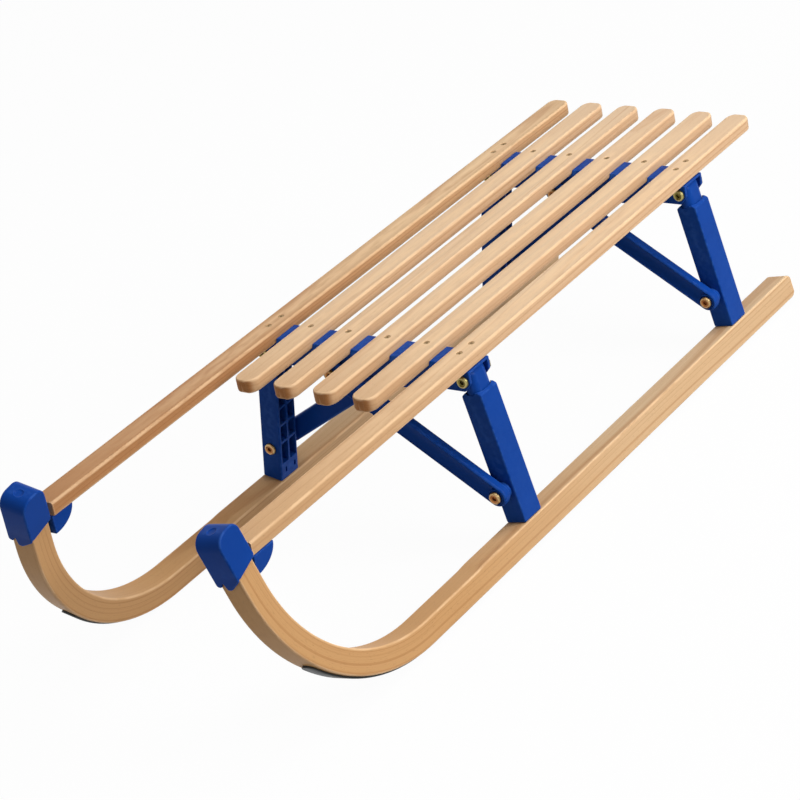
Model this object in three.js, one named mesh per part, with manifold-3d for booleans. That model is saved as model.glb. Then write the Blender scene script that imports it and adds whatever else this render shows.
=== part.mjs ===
// A folding wooden sledge for two children.
// Six wooden slats lie on two moulded beams. A runner frame hangs at each side on hinge bolts,
// and a strut on each leg holds it open.
// Lengths are in millimetres. X points forward, Y to the rider's left, Z up from the ground.
import * as THREE from "three";
import { mergeVertices } from "three/addons/utils/BufferGeometryUtils.js";
import Module from "manifold-3d";

const wasm = await Module();
wasm.setup();

// Whole object. Places along it are shares of its length.
const OVERALL_LENGTH = 1109;
const REAR_END = -OVERALL_LENGTH / 2;
const FRONT_END = OVERALL_LENGTH / 2;
const LENGTH_SHARES = {
  rearSlatOverhang: 0.1393,
  frontSlatOverhang: 0.1213,
  betweenBeams: 0.44,
  rearRunnerOverhang: 0.1159,
};
const REAR_SCREW_LINE = REAR_END + LENGTH_SHARES.rearSlatOverhang * OVERALL_LENGTH;
const FRONT_SCREW_LINE = REAR_SCREW_LINE + LENGTH_SHARES.betweenBeams * OVERALL_LENGTH;
const SPLAY = THREE.MathUtils.degToRad(10.6);

// Fits between pieces, and how far cutting tools run past what they cut
const SIDE_CLEARANCE = 0.3;
const BORE_CLEARANCE = 0.1;
const RESTING_GAP = 0.2;
const HORN_SLIT = 3.5;
const CUT_MARGIN = 1;
const MERGE_DISTANCE = 0.001;

// Facet counts
const ROUND_SIDES = 18;
const SCREW_SIDES = 12;
const CORNER_STEPS = 4;
const EDGE_STEPS = 2;
const CAP_EDGE_STEPS = 3;
const BEND_STEPS = 24;
const STRIP_STEPS = 18;
const STRUT_END_STEPS = 8;
const BLOCK_STEPS = 8;

// Runner, in the tilted side frame, where height 0 is the runner's top face
const RUNNER_WIDTH = 30;
const RUNNER_HEIGHT = 30;
const RUNNER_THINNING = 1;
const RUNNER_EDGE_RADIUS = 2;
const RUNNER_REAR_RADIUS = 9;
const RUNNER_REAR = REAR_SCREW_LINE - LENGTH_SHARES.rearRunnerOverhang * OVERALL_LENGTH;

// Legs, in the tilted side frame
const LEG_AXLE_HEIGHT = 182.3;
const LEG_WIDTH = 27.4;
const LEG_DEPTH = 33.5;
const LEG_NECK = 17.5;
const LEG_SHOULDER = LEG_AXLE_HEIGHT - LEG_NECK;
const LEG_EDGE_RADIUS = 1.6;
const LEG_SHOULDER_SLOPE = 3;
const LEG_CORNER_RADIUS = 2.2;
const LEG_CENTRE_OFFSET = 3.4;
const KNUCKLE_RADIUS = 9.3;
const STRUT_BOLT_SHARE = 0.2392;
const STRUT_BOLT_HEIGHT = STRUT_BOLT_SHARE * LEG_AXLE_HEIGHT;

// Pockets in the inner face of a leg, with ribs between them
const POCKET_COLUMNS = 2;
const POCKET_RIB = 3;
const POCKET_DEPTH = 8;
const POCKET_RIB_SHARES = [0.295, 0.429, 0.563, 0.697];
const POCKET_FOOT = 24.3;
const POCKET_FIELD_TOP = LEG_SHOULDER - LEG_SHOULDER_SLOPE - POCKET_RIB;

// Horn: past the bend the runner rises straight and leans forward, beside the rail's front end.
// Its places are given in the bend's frame: outward from the bend's centre, and along the horn.
const BEND_ANGLE = THREE.MathUtils.degToRad(80.5);
const HORN_LEAN = Math.PI / 2 - BEND_ANGLE;
const BEND_ABOVE_AXLE = 16.2;
const BEND_CENTRE_HEIGHT = LEG_AXLE_HEIGHT + BEND_ABOVE_AXLE;
const BEND_INNER_RADIUS = BEND_CENTRE_HEIGHT + RUNNER_THINNING;
const BEND_OUTER_RADIUS = BEND_CENTRE_HEIGHT + RUNNER_HEIGHT;
const THINNING_BEFORE_BEND = 99;
const THINNING_RUN = 21;
const HORN_LENGTH = 70.5;
const HORN_TOP_RADIUS = 6;

// Horn caps, in the same frame. The bend's place follows from the foremost point of the caps.
const CAP_WALL = 3.5;
const CAP_ROOF = 8;
const CAP_REAR = BEND_INNER_RADIUS - CAP_WALL;
const CAP_FRONT = BEND_OUTER_RADIUS + CAP_WALL;
const CAP_TOP = HORN_LENGTH + CAP_ROOF;
const CAP_FRONT_BOTTOM = 14;
const CAP_REAR_BOTTOM = 31.5;
const CAP_SIDE_WALL = 2.3;
const CAP_WIDTH = RUNNER_WIDTH + 2 * CAP_SIDE_WALL;
const CAP_TOP_FRONT_RADIUS = 15;
const CAP_TOP_REAR_RADIUS = 12;
const CAP_REAR_RADIUS = 4;
const CAP_FRONT_RADIUS = 5;
const CAP_EDGE_RADIUS = 2;
const CAP_NOTCH_WIDTH = 6;
const CAP_NOTCH_RISE = 8.8;
const CAP_NOTCH_INWARD = 7.4;
const CAP_DIMPLE_RADIUS = 5;
const CAP_DIMPLE_DEPTH = 1.2;
const BEND_CENTRE_X =
  FRONT_END -
  CAP_TOP_FRONT_RADIUS -
  (CAP_FRONT - CAP_TOP_FRONT_RADIUS) * Math.cos(HORN_LEAN) -
  (CAP_TOP - CAP_TOP_FRONT_RADIUS) * Math.sin(HORN_LEAN);

// A place in the bend's frame, turned into x and height
function hornPlace(outward, along) {
  return [
    BEND_CENTRE_X + outward * Math.cos(HORN_LEAN) + along * Math.sin(HORN_LEAN),
    BEND_CENTRE_HEIGHT - outward * Math.sin(HORN_LEAN) + along * Math.cos(HORN_LEAN),
  ];
}

// Steel strip under the runner
const STRIP_WIDTH = 18;
const STRIP_THICKNESS = 2.5;
const STRIP_REAR_SETBACK = 14;
const STRIP_REAR = RUNNER_REAR + STRIP_REAR_SETBACK;
const STRIP_TIP_ANGLE = THREE.MathUtils.degToRad(50);
const STRIP_TIP_RADIUS = 8.5;
const SOLE_DROP = RUNNER_HEIGHT + RESTING_GAP + STRIP_THICKNESS;

// Where the tilted side frames meet the seat
const RUNNER_TOP_Z = SOLE_DROP * Math.cos(SPLAY) + (STRIP_WIDTH / 2) * Math.sin(SPLAY);
const HINGE_Y = 141;
const HINGE_Z = RUNNER_TOP_Z + LEG_AXLE_HEIGHT * Math.cos(SPLAY);
const RUNNER_Y = HINGE_Y + LEG_AXLE_HEIGHT * Math.sin(SPLAY);

// Beams
const BEAM_WALL = 3.9;
const BEAM_PLATE = 2.5;
const BEAM_HALF_DEPTH = LEG_DEPTH / 2 + SIDE_CLEARANCE + BEAM_WALL;
const BEAM_PAST_HINGE = 9.5;
const BEAM_HALF_LENGTH = HINGE_Y + BEAM_PAST_HINGE;
const PLATE_UNDERSIDE = HINGE_Z + KNUCKLE_RADIUS + 2 * SIDE_CLEARANCE;
const SLAT_UNDERSIDE = PLATE_UNDERSIDE + BEAM_PLATE;
const BEAM_END_DROP = 25.5;
const BEAM_MIDDLE_DROP = 31.5;
const BEAM_END_CUT_Y = 9;
const BEAM_END_CUT_Z = 11;
const BEAM_MIDDLE_HALF = 62;
const BEAM_SLOPE = 22;
const BEAM_SLOPE_RADIUS = 6;
const BEAM_CORNER_RADIUS = 2.5;
const SPACER_RISE = 6;
const SPACER_SIDE_GAP = 0.5;
const SPACER_CHAMFER = 3;
const SPACER_EDGE_RADIUS = 1;
const BEAM_RIB = 2.6;
const BEAM_RIB_DROP = 18;
const BEAM_RIB_SHARES = [-0.75, -0.375, 0, 0.375, 0.75];

// Slats and outer rails
const SLAT_WIDTH = 30;
const SLAT_THICKNESS = 16.5;
const SLAT_EDGE_RADIUS = 2.6;
const SLAT_END_RADIUS = 10;
const INNER_SLAT_FRONT = FRONT_SCREW_LINE + LENGTH_SHARES.frontSlatOverhang * OVERALL_LENGTH;
const INNER_SLAT_PLACES = [81.6, 27.5, -27.5, -81.6];
const RAIL_INSIDE_HINGE = 7;
const OUTER_RAIL_PLACE = HINGE_Y - RAIL_INSIDE_HINGE;
const RAIL_FRONT = hornPlace(CAP_REAR, CAP_REAR_BOTTOM)[0] - HORN_SLIT;
const SEAT_TOP = SLAT_UNDERSIDE + SLAT_THICKNESS;

// Struts
const UPPER_PIVOT_Y = -33.6;
const UPPER_PIVOT_DROP = 8;
const STRUT_HALF_HEIGHT = 12.8;
const STRUT_OFF_BEAM = 2.05;
const STRUT_INNER_FACE = BEAM_HALF_DEPTH + STRUT_OFF_BEAM;
const STRUT_DEPTH = 12.6;
const STRUT_EDGE_RADIUS = 1;
const STRUT_FLANGE = 3;
const STRUT_POCKET_DEPTH = 7.5;
const STRUT_POCKET_RADIUS = 3;
const STRUT_EYE_RADIUS = 9.8;
const SLOT_LENGTH = 74.6;
const SLOT_HALF_HEIGHT = 4.3;

// Bolts and pins. Head profiles are shares of the head's radius and height.
const BOLT_RADIUS = 4;
const BOLT_HEAD_RADIUS = 7.4;
const BOLT_HEAD_HEIGHT = 4;
const BUTTON_HEAD_SHARES = [[0, 0], [1, 0], [1, 0.35], [0.94, 0.66], [0.78, 0.9], [0.56, 1], [0, 1]];
const BOLT_SOCKET_RADIUS = 3;
const BOLT_SOCKET_DEPTH = 2.4;
const NUT_RADIUS = 7.6;
const NUT_HEIGHT = 5;
const BOLT_END = 1.5;

// Screws, as [head radius, shank radius, head depth]
const SLAT_SCREW = [3.6, 2, 2.4];
const LEG_SCREW = [5, 2.6, 3];
const SCREW_RIM_SHARE = 0.12;
const SCREW_POINT_SHARES = [[0, 0], [0.3, 0.2], [1, 2]];
const SLAT_SCREW_SUNK = 0.5;
const SLAT_SCREW_LENGTH = 30;
const RAIL_SCREW_LENGTH = SLAT_THICKNESS + BEAM_PLATE - SLAT_SCREW_SUNK;
const RAIL_SCREW_OFFSET = 12.2;
const CROSS_LENGTH = 4.2;
const CROSS_WIDTH = 0.9;
const CROSS_DEPTH = 1.5;
const SCREW_BOSS_RADIUS = 5.5;
const SCREW_BOSS_DROP = 15;
const LEG_SCREW_LENGTH = 62;

// Blocks under the rails' front ends, and the pins from them into the horns
const PIVOT_BLOCK_LENGTH = 34;
const PIVOT_BLOCK_DROP = 23;
const PIVOT_BLOCK_WIDTH = 25;
const PIVOT_BLOCK_EDGE_RADIUS = 1.2;
const PIVOT_BLOCK_Y = OUTER_RAIL_PLACE + (SLAT_WIDTH - PIVOT_BLOCK_WIDTH) / 2;
const PIN_AHEAD_OF_RAIL = 19;
const PIN_FRONT = RAIL_FRONT + PIN_AHEAD_OF_RAIL;
const PIN_INTO_BLOCK = 18;
const BLOCK_SCREW_LENGTH = 20;
const BLOCK_SCREW_SETBACK = 24;
const BLOCK_SCREW_X = RAIL_FRONT - BLOCK_SCREW_SETBACK;
const BLOCK_SCREW_BOTTOM = SLAT_UNDERSIDE - BLOCK_SCREW_LENGTH / 2;

// Materials
const MATERIALS = {
  beech: { color: 0xdcb07a, roughness: 0.5, metalness: 0 },
  blue_plastic: { color: 0x1f4da0, roughness: 0.42, metalness: 0 },
  yellow_zinc: { color: 0xa98b4a, roughness: 0.35, metalness: 1 },
  brown_zinc: { color: 0x7d5a36, roughness: 0.4, metalness: 1 },
  dark_steel: { color: 0x2e3133, roughness: 0.45, metalness: 0.9 },
};

function material(kind) {
  return new THREE.MeshStandardMaterial(MATERIALS[kind]);
}

// Turning a geometry into a solid, and back
function solidFrom(geometry) {
  const plain = geometry.clone();
  plain.deleteAttribute("normal");
  plain.deleteAttribute("uv");
  const merged = mergeVertices(plain, MERGE_DISTANCE);
  return new wasm.Manifold(
    new wasm.Mesh({
      numProp: 3,
      vertProperties: merged.attributes.position.array,
      triVerts: new Uint32Array(merged.index.array),
    }),
  );
}

function geometryFrom(solid) {
  const mesh = solid.getMesh();
  const geometry = new THREE.BufferGeometry();
  geometry.setAttribute("position", new THREE.BufferAttribute(mesh.vertProperties, 3));
  geometry.setIndex(new THREE.BufferAttribute(mesh.triVerts, 1));
  const faceted = geometry.toNonIndexed();
  faceted.computeVertexNormals();
  return faceted;
}

function node(name, solid, kind) {
  const mesh = new THREE.Mesh(geometryFrom(solid), material(kind));
  mesh.name = name;
  return mesh;
}

function joined(solids) {
  return wasm.Manifold.union(solids);
}

function cut(solid, tools) {
  return solid.subtract(joined(tools));
}

// Outlines
function roundedCorner(before, corner, after, radius, steps) {
  const back = before.clone().sub(corner).normalize();
  const ahead = after.clone().sub(corner).normalize();
  const half = Math.acos(THREE.MathUtils.clamp(back.dot(ahead), -1, 1)) / 2;
  const centre = back.clone().add(ahead).normalize();
  centre.multiplyScalar(radius / Math.sin(half)).add(corner);
  const reach = radius / Math.tan(half);
  const start = corner.clone().addScaledVector(back, reach).sub(centre);
  const end = corner.clone().addScaledVector(ahead, reach).sub(centre);
  let turn = end.angle() - start.angle();
  if (turn > Math.PI) turn -= 2 * Math.PI;
  if (turn < -Math.PI) turn += 2 * Math.PI;
  const points = [];
  for (let i = 0; i <= steps; i++) {
    const spot = start.clone().rotateAround(new THREE.Vector2(), (turn * i) / steps);
    points.push(spot.add(centre));
  }
  return points;
}

// Corners are [x, y, radius]; a radius of 0 keeps the corner sharp.
function roundedOutline(corners, steps) {
  const spots = corners.map(([x, y]) => new THREE.Vector2(x, y));
  const points = corners.flatMap(([, , radius], i) => {
    if (!radius) return [spots[i]];
    const before = spots.at(i - 1);
    const after = spots[(i + 1) % spots.length];
    return roundedCorner(before, spots[i], after, radius, steps);
  });
  return new THREE.Shape(points);
}

function arc(centreX, centreY, radius, from, to, steps) {
  const points = [];
  for (let i = 0; i <= steps; i++) {
    const angle = from + ((to - from) * i) / steps;
    points.push(
      new THREE.Vector2(centreX + radius * Math.cos(angle), centreY + radius * Math.sin(angle)),
    );
  }
  return points;
}

// Extrusions. An edge radius eases both rims of the piece.
function extruded(shape, thickness, edge, steps) {
  const geometry = new THREE.ExtrudeGeometry(shape, {
    depth: thickness - 2 * edge,
    steps: 1,
    bevelEnabled: edge > 0,
    bevelThickness: edge,
    bevelSize: edge,
    bevelOffset: -edge,
    bevelSegments: steps,
  });
  return geometry.translate(0, 0, edge);
}

// The outline lies in x and z, and the piece is centred on y = 0.
function slabAcross(shape, width, edge, steps) {
  const geometry = extruded(shape, width, edge, steps);
  return solidFrom(geometry.translate(0, 0, -width / 2).rotateX(Math.PI / 2));
}

// The outline lies in x and y, and the piece stands on z = bottom.
function slabUp(shape, bottom, height, edge, steps) {
  return solidFrom(extruded(shape, height, edge, steps).translate(0, 0, bottom));
}

// The outline lies in y and z, and the piece runs forward from x = rear.
function slabForward(shape, rear, depth, edge, steps) {
  const turn = new THREE.Matrix4().makeBasis(
    new THREE.Vector3(0, 1, 0),
    new THREE.Vector3(0, 0, 1),
    new THREE.Vector3(1, 0, 0),
  );
  return solidFrom(extruded(shape, depth, edge, steps).applyMatrix4(turn).translate(rear, 0, 0));
}

function box(fromX, toX, fromY, toY, fromZ, toZ) {
  const size = [toX - fromX, toY - fromY, toZ - fromZ];
  return wasm.Manifold.cube(size).translate([fromX, fromY, fromZ]);
}

function rodForward(radius, fromX, toX, y, z, sides = ROUND_SIDES) {
  const rod = wasm.Manifold.cylinder(toX - fromX, radius, radius, sides);
  return rod.rotate([0, 90, 0]).translate([fromX, y, z]);
}

function rodUp(radius, bottom, top, x, y, sides = SCREW_SIDES) {
  return wasm.Manifold.cylinder(top - bottom, radius, radius, sides).translate([x, y, bottom]);
}

// A round piece turned about z from [radius, height] pairs that start and end on the axis.
function turned(profile, sides) {
  const points = profile.map(([radius, height]) => new THREE.Vector2(radius, height));
  return solidFrom(new THREE.LatheGeometry(points, sides).rotateX(Math.PI / 2));
}

// Countersunk screw pointing down, with the top of its head at z = 0
function countersunkScrew([headRadius, shankRadius, headDepth], length) {
  const body = turned(
    [
      ...SCREW_POINT_SHARES.map(([r, h]) => [shankRadius * r, shankRadius * h - length]),
      [shankRadius, -headDepth],
      [headRadius, -headDepth * SCREW_RIM_SHARE],
      [headRadius, 0],
      [0, 0],
    ],
    SCREW_SIDES,
  );
  const half = CROSS_LENGTH / 2;
  const slim = CROSS_WIDTH / 2;
  return cut(body, [
    box(-half, half, -slim, slim, -CROSS_DEPTH, CUT_MARGIN),
    box(-slim, slim, -half, half, -CROSS_DEPTH, CUT_MARGIN),
  ]);
}

// Room for a countersunk screw, with a mouth that runs up to the surface
function screwRoom([headRadius, shankRadius, headDepth], length, mouth) {
  const c = BORE_CLEARANCE;
  return turned(
    [
      [0, -length - CUT_MARGIN],
      [shankRadius + c, -length - CUT_MARGIN],
      [shankRadius + c, -headDepth - c],
      [headRadius + c, -headDepth * SCREW_RIM_SHARE - c],
      [headRadius + c, mouth],
      [0, mouth],
    ],
    SCREW_SIDES,
  );
}

// Button-head bolt along +x, with the underside of its head at x = 0 and its shank behind it
function buttonBolt(length, nutAt) {
  const profile = BUTTON_HEAD_SHARES.map(([r, h]) => [r * BOLT_HEAD_RADIUS, h * BOLT_HEAD_HEIGHT]);
  const pieces = [
    turned(profile, ROUND_SIDES).rotate([0, 90, 0]),
    rodForward(BOLT_RADIUS, -length, BOLT_HEAD_HEIGHT / 2, 0, 0),
  ];
  if (nutAt !== undefined) pieces.push(rodForward(NUT_RADIUS, -nutAt - NUT_HEIGHT, -nutAt, 0, 0, 6));
  const bottom = BOLT_HEAD_HEIGHT - BOLT_SOCKET_DEPTH;
  const socket = rodForward(BOLT_SOCKET_RADIUS, bottom, BOLT_HEAD_HEIGHT + CUT_MARGIN, 0, 0, 6);
  return cut(joined(pieces), [socket]);
}

// A slat or rail from rear to front, with rounded ends in plan where the radius is not 0
function slatBody(rear, front, y, frontRadius) {
  const half = SLAT_WIDTH / 2;
  const shape = roundedOutline(
    [
      [rear, -half, SLAT_END_RADIUS],
      [front, -half, frontRadius],
      [front, half, frontRadius],
      [rear, half, SLAT_END_RADIUS],
    ],
    CORNER_STEPS,
  );
  const body = slabUp(shape, SLAT_UNDERSIDE, SLAT_THICKNESS, SLAT_EDGE_RADIUS, EDGE_STEPS);
  return body.translate([0, y, 0]);
}

const SCREW_TOP = SEAT_TOP - SLAT_SCREW_SUNK;

function slatScrewRoom(x, y, length) {
  const room = screwRoom(SLAT_SCREW, length, SLAT_SCREW_SUNK + CUT_MARGIN);
  return room.translate([x, y, SCREW_TOP]);
}

// Every screw through the slats: its place, its length and its name
function slatScrewPlaces() {
  const places = [];
  for (const [end, line] of [["front", FRONT_SCREW_LINE], ["rear", REAR_SCREW_LINE]]) {
    INNER_SLAT_PLACES.forEach((y, i) => {
      places.push({ name: `slat_screw_${end}_${i + 1}`, x: line, y, length: SLAT_SCREW_LENGTH });
    });
    for (const [side, sign] of SIDES) {
      for (const [spot, offset] of [["ahead", RAIL_SCREW_OFFSET], ["behind", -RAIL_SCREW_OFFSET]]) {
        places.push({
          name: `rail_screw_${end}_${side}_${spot}`,
          x: line + offset,
          y: sign * OUTER_RAIL_PLACE,
          length: RAIL_SCREW_LENGTH,
        });
      }
    }
  }
  return places;
}

const SIDES = [["left", 1], ["right", -1]];

function slatNodes() {
  const screws = slatScrewPlaces();
  const rooms = (y) =>
    screws.filter((s) => s.y === y).map((s) => slatScrewRoom(s.x, s.y, SLAT_THICKNESS));
  const nodes = INNER_SLAT_PLACES.map((y, i) => {
    const body = slatBody(REAR_END, INNER_SLAT_FRONT, y, SLAT_END_RADIUS);
    return node(`inner_slat_${i + 1}`, cut(body, rooms(y)), "beech");
  });
  for (const [side, sign] of SIDES) {
    const y = sign * OUTER_RAIL_PLACE;
    const body = slatBody(REAR_END, RAIL_FRONT, y, 0);
    const tools = [...rooms(y), blockScrewRoom(sign)];
    nodes.push(node(`outer_rail_${side}`, cut(body, tools), "beech"));
  }
  return nodes;
}

function slatScrewNodes() {
  return slatScrewPlaces().map(({ name, x, y, length }) => {
    const screw = countersunkScrew(SLAT_SCREW, length);
    return node(name, screw.translate([x, y, SCREW_TOP]), "brown_zinc");
  });
}

// Beam: an inverted channel whose walls hold the leg knuckles at both ends
function beamWallOutline() {
  const end = BEAM_HALF_LENGTH;
  const top = SLAT_UNDERSIDE;
  const endBottom = top - BEAM_END_DROP;
  const right = [
    [end, top, 0],
    [end, endBottom + BEAM_END_CUT_Z, BEAM_CORNER_RADIUS],
    [end - BEAM_END_CUT_Y, endBottom, BEAM_CORNER_RADIUS],
    [BEAM_MIDDLE_HALF + BEAM_SLOPE, endBottom, BEAM_SLOPE_RADIUS],
    [BEAM_MIDDLE_HALF, top - BEAM_MIDDLE_DROP, BEAM_SLOPE_RADIUS],
  ];
  const left = right.map(([y, z, radius]) => [-y, z, radius]).reverse();
  return roundedOutline([...left, ...right], CORNER_STEPS);
}

// The slot in a wall that the upper strut bolt slides along when the side folds
function strutSlot(sign) {
  const z = HINGE_Z - UPPER_PIVOT_DROP;
  const near = sign * UPPER_PIVOT_Y;
  const far = sign * (UPPER_PIVOT_Y + SLOT_LENGTH);
  const from = Math.min(near, far);
  const to = Math.max(near, far);
  const inner = sign * BEAM_HALF_DEPTH - (sign > 0 ? BEAM_WALL + CUT_MARGIN : CUT_MARGIN);
  const outer = inner + BEAM_WALL + 2 * CUT_MARGIN;
  return joined([
    box(inner, outer, from, to, z - SLOT_HALF_HEIGHT, z + SLOT_HALF_HEIGHT),
    rodForward(SLOT_HALF_HEIGHT, inner, outer, from, z),
    rodForward(SLOT_HALF_HEIGHT, inner, outer, to, z),
  ]);
}

function spacerBlocks() {
  const places = [-OUTER_RAIL_PLACE, ...INNER_SLAT_PLACES.toReversed(), OUTER_RAIL_PLACE];
  const blocks = [];
  for (let i = 0; i + 1 < places.length; i++) {
    const from = places[i] + SLAT_WIDTH / 2 + SPACER_SIDE_GAP;
    const to = places[i + 1] - SLAT_WIDTH / 2 - SPACER_SIDE_GAP;
    const reach = BEAM_HALF_DEPTH;
    const top = SLAT_UNDERSIDE + SPACER_RISE;
    const shape = roundedOutline(
      [
        [-reach, SLAT_UNDERSIDE - CUT_MARGIN, 0],
        [reach, SLAT_UNDERSIDE - CUT_MARGIN, 0],
        [reach - SPACER_CHAMFER, top, SPACER_EDGE_RADIUS],
        [SPACER_CHAMFER - reach, top, SPACER_EDGE_RADIUS],
      ],
      EDGE_STEPS,
    );
    blocks.push(slabAcross(shape, to - from, 0, 1).translate([0, (from + to) / 2, 0]));
  }
  return blocks;
}

function beamRibs() {
  const inner = BEAM_HALF_DEPTH - BEAM_WALL + CUT_MARGIN;
  return BEAM_RIB_SHARES.map((share) => {
    const y = share * BEAM_HALF_LENGTH;
    const bottom = PLATE_UNDERSIDE - BEAM_RIB_DROP;
    return box(-inner, inner, y - BEAM_RIB / 2, y + BEAM_RIB / 2, bottom, PLATE_UNDERSIDE + CUT_MARGIN);
  });
}

// Bosses for the long slat screws, placed for a beam whose middle is at x = 0
function screwBosses() {
  return INNER_SLAT_PLACES.map((y) =>
    rodUp(SCREW_BOSS_RADIUS, PLATE_UNDERSIDE - SCREW_BOSS_DROP, PLATE_UNDERSIDE + CUT_MARGIN,
      -LEG_CENTRE_OFFSET, y),
  );
}

function beam(name, line) {
  const wall = beamWallOutline();
  const depth = 2 * BEAM_HALF_DEPTH;
  const inner = BEAM_HALF_DEPTH - BEAM_WALL;
  const shell = cut(slabForward(wall, -BEAM_HALF_DEPTH, depth, 0, 1), [
    box(-inner, inner, -BEAM_HALF_LENGTH - CUT_MARGIN, BEAM_HALF_LENGTH + CUT_MARGIN,
      SLAT_UNDERSIDE - BEAM_MIDDLE_DROP - CUT_MARGIN, PLATE_UNDERSIDE),
  ]);
  const body = joined([shell, ...spacerBlocks(), ...beamRibs(), ...screwBosses()]);
  const hole = BOLT_RADIUS + BORE_CLEARANCE;
  const reach = BEAM_HALF_DEPTH + CUT_MARGIN;
  const middle = line + LEG_CENTRE_OFFSET;
  const rooms = slatScrewPlaces()
    .filter((s) => Math.abs(s.x - line) < BEAM_HALF_DEPTH)
    .map((s) => slatScrewRoom(s.x - middle, s.y, s.length));
  const finished = cut(body, [
    rodForward(hole, -reach, reach, HINGE_Y, HINGE_Z),
    rodForward(hole, -reach, reach, -HINGE_Y, HINGE_Z),
    strutSlot(1),
    strutSlot(-1),
    ...rooms,
  ]);
  return node(name, finished.translate([middle, 0, 0]), "blue_plastic");
}

function hingeBolt(name, line, sign) {
  const wallToWall = 2 * BEAM_HALF_DEPTH;
  const bolt = buttonBolt(wallToWall + NUT_HEIGHT + BOLT_END, wallToWall);
  const x = line + LEG_CENTRE_OFFSET + BEAM_HALF_DEPTH;
  return node(name, bolt.translate([x, sign * HINGE_Y, HINGE_Z]), "yellow_zinc");
}

// Quarter-round block under the front end of each rail. It holds the pin that the horn turns on.
function pivotBlockOutline() {
  const rear = RAIL_FRONT - PIVOT_BLOCK_LENGTH;
  const bottom = SLAT_UNDERSIDE - PIVOT_BLOCK_DROP;
  const points = [new THREE.Vector2(RAIL_FRONT, SLAT_UNDERSIDE)];
  for (let i = 0; i <= BLOCK_STEPS; i++) {
    const angle = ((Math.PI / 2) * i) / BLOCK_STEPS;
    points.push(
      new THREE.Vector2(
        RAIL_FRONT + (rear - RAIL_FRONT) * Math.cos(angle),
        SLAT_UNDERSIDE + (bottom - SLAT_UNDERSIDE) * Math.sin(angle),
      ),
    );
  }
  return new THREE.Shape(points);
}

function turnedOver(solid) {
  return solid.rotate([180, 0, 0]);
}

function blockScrewRoom(sign) {
  const room = screwRoom(SLAT_SCREW, BLOCK_SCREW_LENGTH, PIVOT_BLOCK_DROP);
  return turnedOver(room).translate([BLOCK_SCREW_X, sign * PIVOT_BLOCK_Y, BLOCK_SCREW_BOTTOM]);
}

function pivotBlockNodes(side, sign) {
  const y = sign * PIVOT_BLOCK_Y;
  const body = slabAcross(pivotBlockOutline(), PIVOT_BLOCK_WIDTH, PIVOT_BLOCK_EDGE_RADIUS, EDGE_STEPS)
    .translate([0, y, 0]);
  const pinHole = rodForward(
    BOLT_RADIUS + BORE_CLEARANCE,
    RAIL_FRONT - PIN_INTO_BLOCK - SIDE_CLEARANCE,
    RAIL_FRONT + CUT_MARGIN,
    sign * HINGE_Y,
    HINGE_Z,
  );
  const screw = turnedOver(countersunkScrew(SLAT_SCREW, BLOCK_SCREW_LENGTH));
  const pin = rodForward(
    BOLT_RADIUS,
    RAIL_FRONT - PIN_INTO_BLOCK,
    PIN_FRONT,
    sign * HINGE_Y,
    HINGE_Z,
  );
  return [
    node(`pivot_block_${side}`, cut(body, [pinHole, blockScrewRoom(sign)]), "blue_plastic"),
    node(
      `pivot_block_screw_${side}`,
      screw.translate([BLOCK_SCREW_X, y, BLOCK_SCREW_BOTTOM]),
      "brown_zinc",
    ),
    node(`horn_pivot_pin_${side}`, pin, "yellow_zinc"),
  ];
}

// Runner outline, from the rear end along the sole, round the bend and back along the top
function runnerShape() {
  const rear = RUNNER_REAR;
  const down = -Math.PI / 2;
  const bendX = BEND_CENTRE_X;
  const bendZ = BEND_CENTRE_HEIGHT;
  const outerStart = hornPlace(BEND_OUTER_RADIUS, 0);
  const innerStart = hornPlace(BEND_INNER_RADIUS, 0);
  const outerTip = hornPlace(BEND_OUTER_RADIUS, HORN_LENGTH);
  const innerTip = hornPlace(BEND_INNER_RADIUS, HORN_LENGTH);
  const rearBottom = corner3(
    [rear, 0], [rear, -RUNNER_HEIGHT], [bendX, -RUNNER_HEIGHT], RUNNER_REAR_RADIUS);
  const tipFront = corner3(outerStart, outerTip, innerTip, HORN_TOP_RADIUS);
  const tipRear = corner3(outerTip, innerTip, innerStart, HORN_TOP_RADIUS / 2);
  const rearTop = corner3([bendX, 0], [rear, 0], [rear, -RUNNER_HEIGHT], RUNNER_REAR_RADIUS);
  const thinned = bendZ - BEND_INNER_RADIUS;
  return new THREE.Shape([
    ...rearBottom,
    ...arc(bendX, bendZ, BEND_OUTER_RADIUS, down, -HORN_LEAN, BEND_STEPS),
    ...tipFront,
    ...tipRear,
    ...arc(bendX, bendZ, BEND_INNER_RADIUS, -HORN_LEAN, down, BEND_STEPS),
    new THREE.Vector2(bendX - THINNING_BEFORE_BEND, thinned),
    new THREE.Vector2(bendX - THINNING_BEFORE_BEND - THINNING_RUN, 0),
    ...rearTop,
  ]);
}

function corner3(before, corner, after, radius) {
  const [a, b, c] = [before, corner, after].map(([x, y]) => new THREE.Vector2(x, y));
  return roundedCorner(a, b, c, radius, CORNER_STEPS);
}

// Steel strip that follows the sole and the start of the bend
function stripSolid() {
  const inner = BEND_OUTER_RADIUS + RESTING_GAP;
  const outer = inner + STRIP_THICKNESS;
  const bottom = -Math.PI / 2;
  const tip = bottom + STRIP_TIP_ANGLE;
  const outline = new THREE.Shape([
    new THREE.Vector2(STRIP_REAR, BEND_CENTRE_HEIGHT - outer),
    ...arc(BEND_CENTRE_X, BEND_CENTRE_HEIGHT, outer, bottom, tip, STRIP_STEPS),
    ...arc(BEND_CENTRE_X, BEND_CENTRE_HEIGHT, inner, tip, bottom, STRIP_STEPS),
    new THREE.Vector2(STRIP_REAR, BEND_CENTRE_HEIGHT - inner),
  ]);
  return slabAcross(outline, STRIP_WIDTH, 0, 1).intersect(stripPlan());
}

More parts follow.
